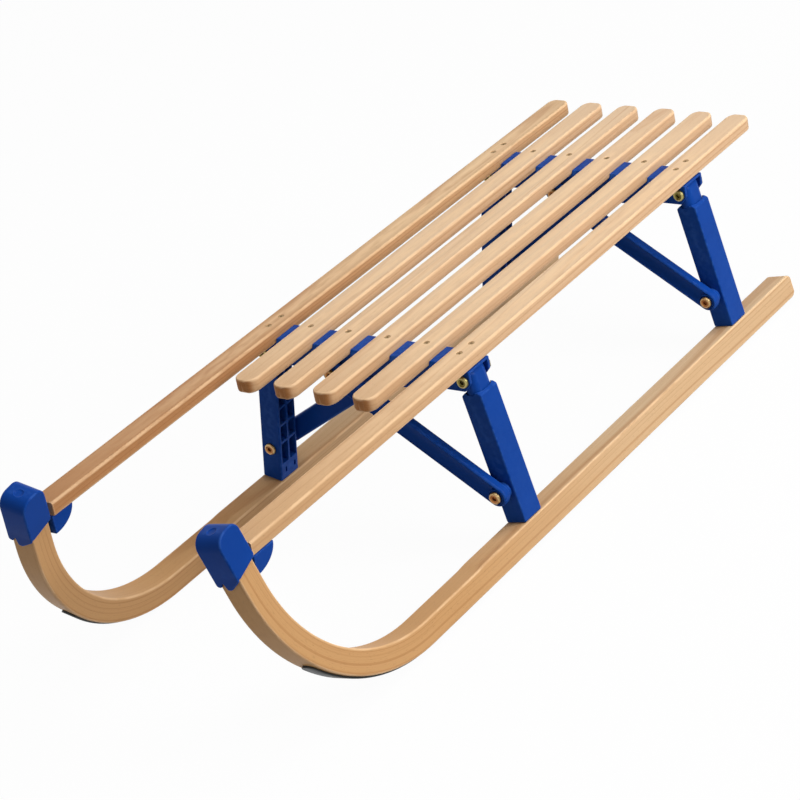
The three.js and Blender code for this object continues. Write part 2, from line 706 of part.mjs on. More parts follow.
// Seen from below, the strip has rounded ends.
function stripPlan() {
  const half = STRIP_WIDTH / 2;
  const tipX = BEND_CENTRE_X + (BEND_OUTER_RADIUS + RESTING_GAP) * Math.sin(STRIP_TIP_ANGLE);
  const plan = roundedOutline(
    [
      [STRIP_REAR, -half, STRIP_TIP_RADIUS],
      [tipX, -half, STRIP_TIP_RADIUS],
      [tipX, half, STRIP_TIP_RADIUS],
      [STRIP_REAR, half, STRIP_TIP_RADIUS],
    ],
    CORNER_STEPS,
  );
  const reach = BEND_CENTRE_HEIGHT + BEND_OUTER_RADIUS;
  return slabUp(plan, -reach, 2 * reach, 0, 1);
}

// Room for the long screw that holds a leg on the runner, pointing up from the sole
function legScrewRoom(x) {
  const room = screwRoom(LEG_SCREW, LEG_SCREW_LENGTH, CUT_MARGIN);
  return turnedOver(room).translate([x, 0, RESTING_GAP - RUNNER_HEIGHT]);
}

function legScrew(x) {
  const screw = countersunkScrew(LEG_SCREW, LEG_SCREW_LENGTH);
  return turnedOver(screw).translate([x, 0, RESTING_GAP - RUNNER_HEIGHT]);
}

// The places of the front and the rear leg of a side
function legPlaces() {
  return [
    ["front", FRONT_SCREW_LINE + LEG_CENTRE_OFFSET],
    ["rear", REAR_SCREW_LINE + LEG_CENTRE_OFFSET],
  ];
}

function runnerSolid() {
  const body = slabAcross(runnerShape(), RUNNER_WIDTH, RUNNER_EDGE_RADIUS, EDGE_STEPS);
  const pinHole = rodForward(
    BOLT_RADIUS + BORE_CLEARANCE,
    RAIL_FRONT,
    PIN_FRONT + SIDE_CLEARANCE,
    0,
    LEG_AXLE_HEIGHT,
  );
  return cut(body, [pinHole, ...legPlaces().map(([, x]) => legScrewRoom(x))]);
}

// Hollow moulded pockets in the face of the leg that looks inward
function legPockets(sign) {
  const inside = LEG_DEPTH - 2 * POCKET_RIB;
  const columnWidth = (inside - (POCKET_COLUMNS - 1) * POCKET_RIB) / POCKET_COLUMNS;
  const ribs = POCKET_RIB_SHARES.map((share) => share * LEG_AXLE_HEIGHT);
  const bottoms = [POCKET_FOOT, ...ribs.map((height) => height + POCKET_RIB / 2)];
  const tops = [...ribs.map((height) => height - POCKET_RIB / 2), POCKET_FIELD_TOP];
  const from = -sign * (LEG_WIDTH / 2 + CUT_MARGIN);
  const to = -sign * (LEG_WIDTH / 2 - POCKET_DEPTH);
  const pockets = [];
  for (let column = 0; column < POCKET_COLUMNS; column++) {
    const x = -inside / 2 + column * (columnWidth + POCKET_RIB);
    bottoms.forEach((bottom, row) => {
      pockets.push(
        box(x, x + columnWidth, Math.min(from, to), Math.max(from, to), bottom, tops[row]),
      );
    });
  }
  return pockets;
}

// A leg whose middle is at x = 0, standing on the runner
function legSolid(sign) {
  const half = LEG_WIDTH / 2;
  const neck = KNUCKLE_RADIUS;
  const outline = roundedOutline(
    [
      [-half, RESTING_GAP, LEG_CORNER_RADIUS],
      [half, RESTING_GAP, LEG_CORNER_RADIUS],
      [half, LEG_SHOULDER - LEG_SHOULDER_SLOPE, LEG_CORNER_RADIUS],
      [neck, LEG_SHOULDER, LEG_CORNER_RADIUS],
      [-neck, LEG_SHOULDER, LEG_CORNER_RADIUS],
      [-half, LEG_SHOULDER - LEG_SHOULDER_SLOPE, LEG_CORNER_RADIUS],
    ],
    EDGE_STEPS,
  );
  const reach = LEG_DEPTH / 2;
  const body = joined([
    slabForward(outline, -reach, LEG_DEPTH, LEG_EDGE_RADIUS, EDGE_STEPS),
    box(-reach, reach, -neck, neck, LEG_SHOULDER - LEG_SHOULDER_SLOPE, LEG_AXLE_HEIGHT),
    rodForward(KNUCKLE_RADIUS, -reach, reach, 0, LEG_AXLE_HEIGHT),
  ]);
  const hole = BOLT_RADIUS + BORE_CLEARANCE;
  const far = reach + CUT_MARGIN;
  return cut(body, [
    rodForward(hole, -far, far, 0, LEG_AXLE_HEIGHT),
    rodForward(hole, -far, far, 0, STRUT_BOLT_HEIGHT),
    legScrewRoom(0),
    ...legPockets(sign),
  ]);
}

// Cap over the tip of the horn, with a notch low in its front and a dimple in its top. It is
// drawn upright in the bend's frame and then leans with the horn.
function capSolid(sign) {
  const outline = roundedOutline(
    [
      [CAP_REAR, CAP_REAR_BOTTOM, CAP_REAR_RADIUS],
      [CAP_FRONT, CAP_FRONT_BOTTOM, CAP_FRONT_RADIUS],
      [CAP_FRONT, CAP_TOP, CAP_TOP_FRONT_RADIUS],
      [CAP_REAR, CAP_TOP, CAP_TOP_REAR_RADIUS],
    ],
    CORNER_STEPS,
  );
  const body = slabAcross(outline, CAP_WIDTH, CAP_EDGE_RADIUS, CAP_EDGE_STEPS);
  const gap = SIDE_CLEARANCE;
  const half = RUNNER_WIDTH / 2 + gap;
  const notch = CAP_NOTCH_WIDTH / 2;
  const notchY = -sign * CAP_NOTCH_INWARD;
  const dimpleX = (CAP_REAR + CAP_FRONT) / 2;
  const hollow = cut(body, [
    box(BEND_INNER_RADIUS - gap, BEND_OUTER_RADIUS + gap, -half, half, -CAP_TOP, HORN_LENGTH + gap),
    box(BEND_INNER_RADIUS, CAP_FRONT + CUT_MARGIN, notchY - notch, notchY + notch,
      -CAP_TOP, CAP_FRONT_BOTTOM + CAP_NOTCH_RISE),
    rodUp(CAP_DIMPLE_RADIUS, CAP_TOP - CAP_DIMPLE_DEPTH, CAP_TOP + CUT_MARGIN, dimpleX, 0),
  ]);
  const lean = THREE.MathUtils.radToDeg(HORN_LEAN);
  return hollow.rotate([0, lean, 0]).translate([BEND_CENTRE_X, 0, BEND_CENTRE_HEIGHT]);
}

// Everything that swings with one side, drawn upright with the leg along z
function sideFrame(side, sign) {
  const group = new THREE.Group();
  group.name = `${side}_side`;
  group.position.set(0, sign * RUNNER_Y, RUNNER_TOP_Z);
  group.rotation.x = sign * SPLAY;
  group.add(
    node(`runner_${side}`, runnerSolid(), "beech"),
    node(`steel_strip_${side}`, stripSolid(), "dark_steel"),
    node(`horn_cap_${side}`, capSolid(sign), "blue_plastic"),
  );
  for (const [end, x] of legPlaces()) {
    group.add(
      node(`${end}_leg_${side}`, legSolid(sign).translate([x, 0, 0]), "blue_plastic"),
      node(`leg_screw_${end}_${side}`, legScrew(x), "brown_zinc"),
      lowerStrutBolt(`strut_bolt_lower_${end}_${side}`, x, sign),
    );
  }
  return group;
}

// The left strut stands in front of its leg and the right strut behind it, both with the
// bolt head in front.
function lowerStrutBolt(name, x, sign) {
  const front = sign > 0 ? STRUT_INNER_FACE + STRUT_DEPTH : LEG_DEPTH / 2;
  const rear = sign > 0 ? LEG_DEPTH / 2 : STRUT_INNER_FACE + STRUT_DEPTH;
  const grip = front + rear + 2 * RESTING_GAP;
  const bolt = buttonBolt(grip + NUT_HEIGHT + BOLT_END, grip);
  return node(name, bolt.translate([x + front + RESTING_GAP, 0, STRUT_BOLT_HEIGHT]), "yellow_zinc");
}

// Pivot points of a strut: the lower one on the leg and the upper one on the beam
function strutEnds() {
  const lower = new THREE.Vector2(
    RUNNER_Y - STRUT_BOLT_HEIGHT * Math.sin(SPLAY),
    RUNNER_TOP_Z + STRUT_BOLT_HEIGHT * Math.cos(SPLAY),
  );
  const upper = new THREE.Vector2(UPPER_PIVOT_Y, HINGE_Z - UPPER_PIVOT_DROP);
  return { lower, upper };
}

// A strut along +y from its lower pivot at the origin, with its open face forward
function strutSolid(length) {
  const r = STRUT_HALF_HEIGHT;
  const quarter = Math.PI / 2;
  const outline = new THREE.Shape([
    ...arc(0, 0, r, quarter, 3 * quarter, STRUT_END_STEPS),
    ...arc(length, 0, r, -quarter, quarter, STRUT_END_STEPS),
  ]);
  const face = STRUT_INNER_FACE;
  const front = face + STRUT_DEPTH;
  const bossFrom = LEG_DEPTH / 2 + SIDE_CLEARANCE;
  const body = slabForward(outline, face, STRUT_DEPTH, STRUT_EDGE_RADIUS, EDGE_STEPS);
  const pocket = slabForward(
    roundedOutline(strutPocketCorners(length), EDGE_STEPS),
    front - STRUT_POCKET_DEPTH,
    STRUT_POCKET_DEPTH + CUT_MARGIN,
    0,
    1,
  );
  const eyes = [
    rodForward(STRUT_EYE_RADIUS, bossFrom, front, 0, 0),
    rodForward(STRUT_EYE_RADIUS, BEAM_HALF_DEPTH + SIDE_CLEARANCE, front, length, 0),
  ];
  const hole = BOLT_RADIUS + BORE_CLEARANCE;
  return cut(joined([cut(body, [pocket]), ...eyes]), [
    rodForward(hole, bossFrom - CUT_MARGIN, front + CUT_MARGIN, 0, 0),
    rodForward(hole, bossFrom - CUT_MARGIN, front + CUT_MARGIN, length, 0),
  ]);
}

function strutPocketCorners(length) {
  const inside = STRUT_HALF_HEIGHT - STRUT_FLANGE;
  const from = STRUT_EYE_RADIUS;
  const to = length - STRUT_EYE_RADIUS;
  return [
    [from, -inside, STRUT_POCKET_RADIUS],
    [to, -inside, STRUT_POCKET_RADIUS],
    [to, inside, STRUT_POCKET_RADIUS],
    [from, inside, STRUT_POCKET_RADIUS],
  ];
}

function upperStrutBolt(length) {
  const front = STRUT_INNER_FACE + STRUT_DEPTH + RESTING_GAP;
  const bolt = buttonBolt(front - BEAM_HALF_DEPTH - SIDE_CLEARANCE);
  return bolt.translate([front, length, 0]);
}

// The right struts are the left ones turned half round about a vertical line.
function strutGroup(side, end, x) {
  const { lower, upper } = strutEnds();
  const length = lower.distanceTo(upper);
  const turner = new THREE.Group();
  turner.position.x = x;
  turner.rotation.z = side === "left" ? 0 : Math.PI;
  const holder = new THREE.Group();
  holder.position.set(0, lower.x, lower.y);
  holder.rotation.x = upper.clone().sub(lower).angle();
  holder.add(
    node(`${end}_strut_${side}`, strutSolid(length), "blue_plastic"),
    node(`strut_bolt_upper_${end}_${side}`, upperStrutBolt(length), "yellow_zinc"),
  );
  turner.add(holder);
  return turner;
}

function seat() {
  const group = new THREE.Group();
  group.name = "seat";
  group.add(...slatNodes(), ...slatScrewNodes());
  group.add(beam("front_beam", FRONT_SCREW_LINE), beam("rear_beam", REAR_SCREW_LINE));
  for (const [side, sign] of SIDES) {
    group.add(
      hingeBolt(`hinge_bolt_front_${side}`, FRONT_SCREW_LINE, sign),
      hingeBolt(`hinge_bolt_rear_${side}`, REAR_SCREW_LINE, sign),
      ...pivotBlockNodes(side, sign),
    );
  }
  return group;
}

const sledge = new THREE.Group();
sledge.name = "sledge";
sledge.add(seat());
for (const [side, sign] of SIDES) {
  sledge.add(sideFrame(side, sign));
  for (const [end, x] of legPlaces()) sledge.add(strutGroup(side, end, x));
}

export default sledge;
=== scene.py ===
# %% [markdown]
# # A folding wooden sledge
# This notebook dresses the plain CAD model of a slatted sledge as it would stand in a
# studio: varnished beech, royal-blue mouldings, plated bolts and a steel sole strip.
# The CAD model comes in first and stays fixed. Every piece made here takes its place from it.

# %% Load the frame
import math
import random

import bmesh
import bpy
from mathutils import Matrix, Vector


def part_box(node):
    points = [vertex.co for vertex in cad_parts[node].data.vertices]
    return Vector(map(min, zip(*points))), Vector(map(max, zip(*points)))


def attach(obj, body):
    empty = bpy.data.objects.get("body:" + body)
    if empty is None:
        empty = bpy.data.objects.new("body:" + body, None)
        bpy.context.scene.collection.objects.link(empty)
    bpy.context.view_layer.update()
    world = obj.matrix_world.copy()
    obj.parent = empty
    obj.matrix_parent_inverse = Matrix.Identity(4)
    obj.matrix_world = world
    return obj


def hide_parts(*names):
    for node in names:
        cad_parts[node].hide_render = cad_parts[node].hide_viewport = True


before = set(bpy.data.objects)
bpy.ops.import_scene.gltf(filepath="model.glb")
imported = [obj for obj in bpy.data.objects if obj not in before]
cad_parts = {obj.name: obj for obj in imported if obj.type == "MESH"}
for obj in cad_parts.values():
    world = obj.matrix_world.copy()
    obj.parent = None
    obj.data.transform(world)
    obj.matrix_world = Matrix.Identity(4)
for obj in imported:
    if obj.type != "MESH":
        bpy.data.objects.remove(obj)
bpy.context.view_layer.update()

MM = 0.001

# %% [markdown]
# ## The camera
# A product photograph of a long object is often taken from a few metres off, above one
# corner, and turned a little so that the object fills the square. A place, an aim and a
# roll say that in three values, which are easier to read than a matrix.

# %% Camera
CAMERA_PLACE = Vector((2.32104, 1.88451, 1.63804))
CAMERA_AIM = Vector((0.02447, -0.02597, 0.11813))
CAMERA_ROLL = math.radians(11.706)
LENS, SENSOR = 128.6, 36

sight = (CAMERA_AIM - CAMERA_PLACE).normalized()
level = sight.cross(Vector((0, 0, 1))).normalized()
upright = level.cross(sight)
right = level * math.cos(CAMERA_ROLL) - upright * math.sin(CAMERA_ROLL)
up = upright * math.cos(CAMERA_ROLL) + level * math.sin(CAMERA_ROLL)
camera = bpy.data.objects.new("camera", bpy.data.cameras.new("camera"))
camera.data.lens = LENS
camera.data.sensor_width = SENSOR
camera.matrix_world = Matrix.Translation(CAMERA_PLACE) @ Matrix((right, up, -sight)).transposed().to_4x4()
bpy.context.scene.collection.objects.link(camera)
bpy.context.scene.camera = camera
print("camera is", round((CAMERA_AIM - CAMERA_PLACE).length, 2), "m from its aim")

# %% [markdown]
# ## Where things are
# The sizes below are in millimetres. Those that the CAD nodes show are measured from the
# nodes' boxes, so that a piece lands exactly where its node is. The others are the driving
# sizes of the sledge: the splay of its sides, the section of its runners and so on.
# Each side is drawn upright in a tilted frame of its own: x forward, u across, w up the leg.

# %% Measured places
SIDES = (("left", 1), ("right", -1))
ENDS = ("front", "rear")


def box(node):
    """The lowest and highest corner of a CAD node, in millimetres."""
    low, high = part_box(node)
    return Vector(low) / MM, Vector(high) / MM


def middle(node):
    low, high = box(node)
    return (low + high) / 2


def nodes_named(*starts):
    return [name for name in sorted(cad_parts) if name.startswith(starts)]


slat_low, slat_high = box("inner_slat_1")
SLAT_HALF = (slat_high.y - slat_low.y) / 2
SLAT_REAR, SLAT_FRONT = slat_low.x, slat_high.x
SEAT_TOP, SLAT_UNDERSIDE = slat_high.z, slat_low.z
SLAT_MIDDLE = (SEAT_TOP + SLAT_UNDERSIDE) / 2
RAIL_FRONT = box("outer_rail_left")[1].x
HINGE = middle("hinge_bolt_front_left")
LEG_X = {end: middle(f"{end}_beam").x for end in ENDS}
print("seat top at", round(SEAT_TOP, 1), "hinge at", round(HINGE.y, 1), round(HINGE.z, 1))

# %% Driving sizes
SPLAY = math.radians(10.6)
AXLE = 182.3
RUNNER_HALF = 15.0
RUNNER_HEIGHT, RUNNER_THIN = 30.0, 29.0
RUNNER_REAR = -528.55
LEAN = math.radians(9.5)
BEND_TURN = math.pi / 2 - LEAN
BEND_X, BEND_ABOVE_AXLE = 314.995, 16.2
BEND_W = AXLE + BEND_ABOVE_AXLE
BEND_INNER, BEND_OUTER = BEND_W + RUNNER_HEIGHT - RUNNER_THIN, BEND_W + RUNNER_HEIGHT
HORN_LENGTH = 70.5
RUNNER_TOP_Z = HINGE.z - AXLE * math.cos(SPLAY)
RUNNER_Y = HINGE.y + AXLE * math.sin(SPLAY)


def at(x, y, z):
    """The matrix that moves a piece to this place."""
    return Matrix.Translation((x, y, z))


SIDE_FRAME = {
    sign: at(0, sign * RUNNER_Y, RUNNER_TOP_Z) @ Matrix.Rotation(sign * SPLAY, 4, "X")
    for _, sign in SIDES
}
HORN_FRAME = at(BEND_X, 0, BEND_W) @ Matrix.Rotation(LEAN, 4, "Y")
print("runners stand", round(2 * RUNNER_Y), "mm apart")

# %% [markdown]
# ## Tools for solid shapes
# Almost everything on the sledge is a board or a moulding with eased edges. Blender's Bevel
# modifier could ease them, but where an outline already has small round corners it runs
# out of room. So two helpers draw the rounding themselves: one lifts an outline into a
# plate with rounded rims, the other draws a rounded section along a path.

# %% Meshes from rings of points
RIM_SUPPORT = 0.7
WELD, LEAST_RADIUS = 0.004, 0.01


def mesh_object(name, points, faces, place=Matrix.Identity(4)):
    """A closed mesh from points in millimetres, placed by a matrix in millimetres."""
    mesh = bpy.data.meshes.new(name)
    mesh.from_pydata([(place @ Vector(p)) * MM for p in points], [], faces)
    work = bmesh.new()
    work.from_mesh(mesh)
    bmesh.ops.remove_doubles(work, verts=work.verts, dist=WELD * MM)
    bmesh.ops.recalc_face_normals(work, faces=work.faces)
    work.to_mesh(mesh)
    work.free()
    piece = bpy.data.objects.new(name, mesh)
    bpy.context.scene.collection.objects.link(piece)
    return piece


def from_rings(name, rings, place=Matrix.Identity(4)):
    """Skins rings of equal length and closes both ends."""
    count = len(rings[0])
    faces = [tuple(reversed(range(count)))]
    for i in range(len(rings) - 1):
        for j in range(count):
            k = (j + 1) % count
            faces.append((i * count + j, i * count + k, (i + 1) * count + k, (i + 1) * count + j))
    last = (len(rings) - 1) * count
    faces.append(tuple(range(last, last + count)))
    return mesh_object(name, [p for ring in rings for p in ring], faces, place)


# %% Outlines with round corners
def outline(corners, inset, steps):
    """Points round a polygon of [x, y, radius] corners, moved inwards by inset."""
    spots = [Vector(c[:2]) for c in corners]
    count = len(spots)
    runs = [(spots[(i + 1) % count] - spots[i]).normalized() for i in range(count)]
    inward = [Vector((-run.y, run.x)) for run in runs]
    points = []
    for i in range(count):
        before, after = runs[i - 1], runs[i]
        bulges = before.cross(after) > 0
        corner = spots[i] + (inward[i - 1] + inward[i]) * inset / (1 + inward[i - 1].dot(inward[i]))
        radius = max(corners[i][2] + (-inset if bulges else inset), LEAST_RADIUS)
        turn = math.acos(max(-1, min(1, before.dot(after))))
        start = corner - before * radius * math.tan(turn / 2)
        centre = start + (inward[i - 1] if bulges else -inward[i - 1]) * radius
        for k in range(steps + 1):
            angle = turn * k / steps * (1 if bulges else -1)
            spoke = start - centre
            spoke.rotate(Matrix.Rotation(angle, 2))
            points.append(centre + spoke)
    return points


# %% Plates with rounded rims
def plate(name, corners, depth, rim, place, steps, rim_steps=4):
    """An outline lifted by depth, with both rims rounded by the radius rim."""
    levels = [(0, rim + RIM_SUPPORT)] if rim else [(0, 0)]
    quarter = [math.pi / 2 * k / rim_steps for k in range(rim_steps + 1)] if rim else []
    levels += [(rim - rim * math.cos(a), rim - rim * math.sin(a)) for a in quarter]
    if rim and depth > 2 * (rim + RIM_SUPPORT):
        levels.append((rim + RIM_SUPPORT, 0))
    levels += [(depth - height, inset) for height, inset in reversed(levels)]
    rings = [[(*p, height) for p in outline(corners, inset, steps)] for height, inset in levels]
    return from_rings(name, rings, place)


def across(half):
    """Places a plate drawn in x and z so that it lies across, centred on y = 0."""
    return Matrix(((1, 0, 0, 0), (0, 0, -1, half), (0, 1, 0, 0), (0, 0, 0, 1)))


def forward(start):
    """Places a plate drawn in y and z so that it runs forward from x = start."""
    return Matrix(((0, 0, 1, start), (1, 0, 0, 0), (0, 1, 0, 0), (0, 0, 0, 1)))


def rectangle(left, right, bottom, top, radius):
    return [[left, bottom, radius], [right, bottom, radius], [right, top, radius], [left, top, radius]]


# %% Sections along a path
SECTION_STEPS, END_STEPS = 4, 6
NEARLY_ROUND, SUPPORT_SHARE = 0.98, 0.4


def section(half_width, half_height, radius):
    """A rounded rectangle as (u, n) points, with a support point beside each corner."""
    radius = min(radius, half_width * NEARLY_ROUND, half_height * NEARLY_ROUND)
    flats = (2 * (half_height - radius), 2 * (half_width - radius))
    points = []
    for corner, (su, sn) in enumerate(((1, 1), (-1, 1), (-1, -1), (1, -1))):
        centre = Vector((su * (half_width - radius), sn * (half_height - radius)))
        before = min(RIM_SUPPORT, SUPPORT_SHARE * flats[corner % 2])
        after = min(RIM_SUPPORT, SUPPORT_SHARE * flats[(corner + 1) % 2])
        angles = [math.pi / 2 * (corner + k / SECTION_STEPS) for k in range(SECTION_STEPS + 1)]
        arc = [centre + radius * Vector((math.cos(a), math.sin(a))) for a in angles]
        along = [Vector((-math.sin(a), math.cos(a))) for a in (angles[0], angles[-1])]
        points += [arc[0] - along[0] * before, *arc, arc[-1] + along[1] * after]
    return points


def drawn_along(name, stations, place=Matrix.Identity(4)):
    """Skins stations of (x, w, inward direction, half width, half height, radius)."""
    rings = []
    for x, w, (nx, nw), half_width, half_height, radius in stations:
        ring = section(half_width, half_height, radius)
        rings.append([(x + nx * n, u, w + nw * n) for u, n in ring])
    return from_rings(name, rings, place)


def end_loss(distance, radius):
    """How much a round corner takes off at this distance from the end."""
    if distance >= radius:
        return 0.0
    return radius - math.sqrt(radius * radius - (radius - distance) ** 2)


def end_distances(*radii):
    """Distances from an end at which rings catch the round corners."""
    places = {0.0, max(radii) + RIM_SUPPORT}
    for radius in radii:
        turns = [math.pi / 2 * k / END_STEPS for k in range(1, END_STEPS + 1)]
        places |= {round(radius * (1 - math.cos(turn)), 4) for turn in turns}
    return sorted(places)


# %% Turned pieces and round holes
BORE = 4.1


def turned(name, profile, place, sides=40):
    """A piece turned about z from [radius, height] pairs, open at neither end."""
    rings = []
    for radius, height in profile:
        angles = [2 * math.pi * k / sides for k in range(sides)]
        rings.append([(radius * math.cos(a), radius * math.sin(a), height) for a in angles])
    return from_rings(name, rings, place)


def pointing_forward(x, y, z):
    """Places a turned piece so that its axis points along x."""
    return at(x, y, z) @ Matrix.Rotation(math.pi / 2, 4, "Y")


def bore(start, length, y, z, place=Matrix.Identity(4), sides=32):
    """A tool along x for a hole that a bolt or a pin turns in."""
    return turned("bore", [(BORE, 0), (BORE, length)], place @ pointing_forward(start, y, z), sides)


# %% [markdown]
# ## Cutting and joining
# Holes, pockets and sockets are cut with Boolean modifiers. The modifiers are applied at
# once, because a finished mesh is easier to check and to hand on than a stack of steps.

# %% Booleans
def combined(base, tools, how):
    """base with every tool cut away or joined on, as one closed mesh."""
    for tool in tools:
        step = base.modifiers.new("step", "BOOLEAN")
        step.operation, step.solver, step.object = how, "MANIFOLD", tool
    looked_at = base.evaluated_get(bpy.context.evaluated_depsgraph_get())
    shape = bpy.data.meshes.new_from_object(looked_at)
    base.modifiers.clear()
    base.data = shape
    for tool in tools:
        bpy.data.objects.remove(tool)
    return base


def cut(base, *tools):
    return combined(base, tools, "DIFFERENCE")


def joined(base, *tools):
    return combined(base, tools, "UNION")


# %% [markdown]
# ## What the finishes need from the mesh
# Varnish rubs thin and plastic scuffs on the arrises first. The materials could find the
# edges by themselves with a Bevel node, but that is slow and depends on the renderer. It is
# simpler to write the tightness of each curve into the mesh as an attribute called wear.
# On the wood the same attribute also paints a highlight on the arrises, besides the wear.
# Wood also needs to know its fibre direction, so boards carry an attribute called grain:
# metres along the fibre, across it and through it. Two more attributes say how far each point
# faces along the fibre (end_grain) and to the side of the sledge. The wood uses the second one
# to paint shade on the faces that look to the side.

# %% Wear and grain attributes
ROUND_START, ROUND_FULL = 120.0, 420.0
SHARP_EDGE, FLAT_ANGLE = math.radians(50), 0.03
SHORTEST, NARROWEST = 1e-6, 1e-5


def smooth_step(value, low, high):
    t = max(0.0, min(1.0, (value - low) / (high - low)))
    return t * t * (3 - 2 * t)


def mark_wear(mesh):
    """Stores 0 on flat and hollow places and 1 on tight outer edges."""
    work = bmesh.new()
    work.from_mesh(mesh)
    wear = [0.0] * len(work.verts)
    for edge in work.edges:
        if len(edge.link_faces) != 2:
            continue
        angle = edge.calc_face_angle_signed(0)
        if angle < FLAT_ANGLE:
            continue
        width = min(face.calc_area() for face in edge.link_faces) / max(edge.calc_length(), SHORTEST)
        amount = smooth_step(angle / max(width, NARROWEST), ROUND_START, ROUND_FULL)
        if angle > SHARP_EDGE:
            amount = 1.0
        for vert in edge.verts:
            wear[vert.index] = max(wear[vert.index], amount)
    work.free()
    mesh.attributes.new("wear", "FLOAT", "POINT").data.foreach_set("value", wear)


def mark_grain(mesh, grain_at, seed):
    """Stores each point's place in the tree, how far it faces along the fibre, and how far it faces
    sideways, for painted side shade.
    """
    chance = random.Random(seed)
    shift = Vector((chance.uniform(0, 9), chance.uniform(-0.012, 0.012), chance.uniform(0.03, 0.075)))
    grain, ends, sides = [], [], []
    for vert in mesh.vertices:
        place, fibre = grain_at(vert.co / MM)
        grain += [*(Vector(place) * MM + shift)]
        ends.append(abs(Vector(fibre).dot(vert.normal)))
        sides.append(abs(vert.normal.y))
    mesh.attributes.new("grain", "FLOAT_VECTOR", "POINT").data.foreach_set("vector", grain)
    mesh.attributes.new("end_grain", "FLOAT", "POINT").data.foreach_set("value", ends)
    mesh.attributes.new("side_shade", "FLOAT", "POINT").data.foreach_set("value", sides)


# %% Finishing a piece
CREASE = math.radians(34)
made = []


def settle(piece, body, material, node):
    """Smooths a piece, gives it its finish and hands it to its body in place of its CAD node."""
    piece.data.shade_smooth()
    piece.data.set_sharp_from_angle(angle=CREASE)
    piece.data.materials.clear()
    piece.data.materials.append(material)
    mark_wear(piece.data)
    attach(piece, body)
    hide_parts(node)
    made.append(piece)


# %% [markdown]
# ## Writing shaders as sums
# A finish is a small calculation: so much of the ring pattern, less so much of the worn
# edge. Written as node after node it is hard to read. The class below wraps one socket so
# that +, -, * and ** add their Math nodes, and one method adds any other node.

# %% Sockets that can be added and multiplied
def operator(operation, reflected=False):
    """A method that joins a wire and another value in one Math node."""
    def act(wire, other):
        pair = (other, wire) if reflected else (wire, other)
        return wire.finish.add("ShaderNodeMath", {"operation": operation}, dict(enumerate(pair)))
    return act


class Wire:
    """An output socket of a finish."""

    def __init__(self, finish, socket):
        self.finish, self.socket = finish, socket

    __add__, __radd__ = operator("ADD"), operator("ADD", True)
    __sub__, __rsub__ = operator("SUBTRACT"), operator("SUBTRACT", True)
    __mul__, __rmul__ = operator("MULTIPLY"), operator("MULTIPLY", True)
    __pow__ = operator("POWER")


# %% A finish and its one method for nodes
class Finish:
    """A material, or the world, that is built up node by node."""

    def __init__(self, owner):
        owner.use_nodes = True
        self.owner, self.tree = owner, owner.node_tree
        self.tree.nodes.clear()

    def add(self, kind, settings=None, inputs=None, output=0):
        """Adds a node: first its settings, then its inputs as numbers, colours or wires."""
        node = self.tree.nodes.new(kind)
        for key, value in (settings or {}).items():
            if key == "stops":
                ramp = node.color_ramp.elements
                for spot, (where, shade) in enumerate(value):
                    stop = ramp[spot] if spot < len(ramp) else ramp.new(where)
                    stop.position, stop.color = where, shade
            else:
                setattr(node, key, value)
        for key, value in (inputs or {}).items():
            if isinstance(value, Wire):
                self.tree.links.new(value.socket, node.inputs[key])
            else:
                node.inputs[key].default_value = value
        return Wire(self, node.outputs[output])

    def attribute(self, name, output="Fac"):
        return self.add("ShaderNodeAttribute", {"attribute_name": name}, output=output)

    def noise(self, vector, scale, detail=2.0, roughness=0.5, distortion=0.0):
        """Noise of a vector that is scaled by one number, or stretched by three."""
        if isinstance(scale, tuple):
            stretched = self.add("ShaderNodeVectorMath", {"operation": "MULTIPLY"}, {0: vector, 1: scale})
            return self.noise(stretched, 1.0, detail, roughness, distortion)
        return self.add("ShaderNodeTexNoise", {}, {
            "Vector": vector, "Scale": scale, "Detail": detail, "Roughness": roughness,
            "Distortion": distortion})

    def between(self, value, low, high, to_low=0.0, to_high=1.0):
        """Eases value from low..high to to_low..to_high and holds it there."""
        return self.add("ShaderNodeMapRange", {"interpolation_type": "SMOOTHSTEP"}, {
            "Value": value, "From Min": low, "From Max": high, "To Min": to_low, "To Max": to_high})

    def mixed(self, amount, first, second):
        return self.add("ShaderNodeMix", {"data_type": "RGBA"}, {0: amount, 6: first, 7: second}, 2)

    def bump(self, height, distance, strength):
        return self.add("ShaderNodeBump", {}, {
            "Height": height, "Distance": distance, "Strength": strength}, "Normal")

    def surface(self, **inputs):
        named = {key.replace("_", " "): value for key, value in inputs.items()}
        return self.ended_with(self.add("ShaderNodeBsdfPrincipled", {}, named))

    def ended_with(self, shader, kind="ShaderNodeOutputMaterial"):
        """Joins the shader to the output, and gives back the material or the world."""
        end = self.tree.nodes.new(kind)
        self.tree.links.new(shader.socket, end.inputs["Surface"])
        return self.owner


def new_finish(name):
    return Finish(bpy.data.materials.new(name))


# %% Colours
def colour(red, green, blue):
    """A screen colour from 0 to 255 as the linear colour that a shader takes."""
    def linear(value):
        value /= 255
        return value / 12.92 if value <= 0.04045 else ((value + 0.055) / 1.055) ** 2.4
    return (linear(red), linear(green), linear(blue), 1.0)


def darker(shade, share):
    return tuple(value * share for value in shade[:3]) + (1.0,)


# %% [markdown]
# ## Beech
# Beech is a pale, dense wood. Its growth rings show as soft lines, its fibre as fine
# streaks and its rays as short brown flecks. A flat image of grain would show the same
# pattern on every face. Here the board is cut out of a modelled trunk: the distance from
# the heart of the tree gives the rings, so tops, sides and ends agree with one another.
# A board's tone also drifts from one end to the other, and towards the front it is painted
# darker still, as painted shade where the light falls off; so one mix follows the place along
# the sledge. Faces that look to the side are painted darker and more orange as painted shade,
# and the arrises paler, partly as wear and partly as a painted highlight.

# %% Beech finish
END_PALE, END_DEEP = colour(196, 126, 60), colour(148, 84, 34)
ARRIS_WEAR_AND_HIGHLIGHT = colour(252, 216, 172)


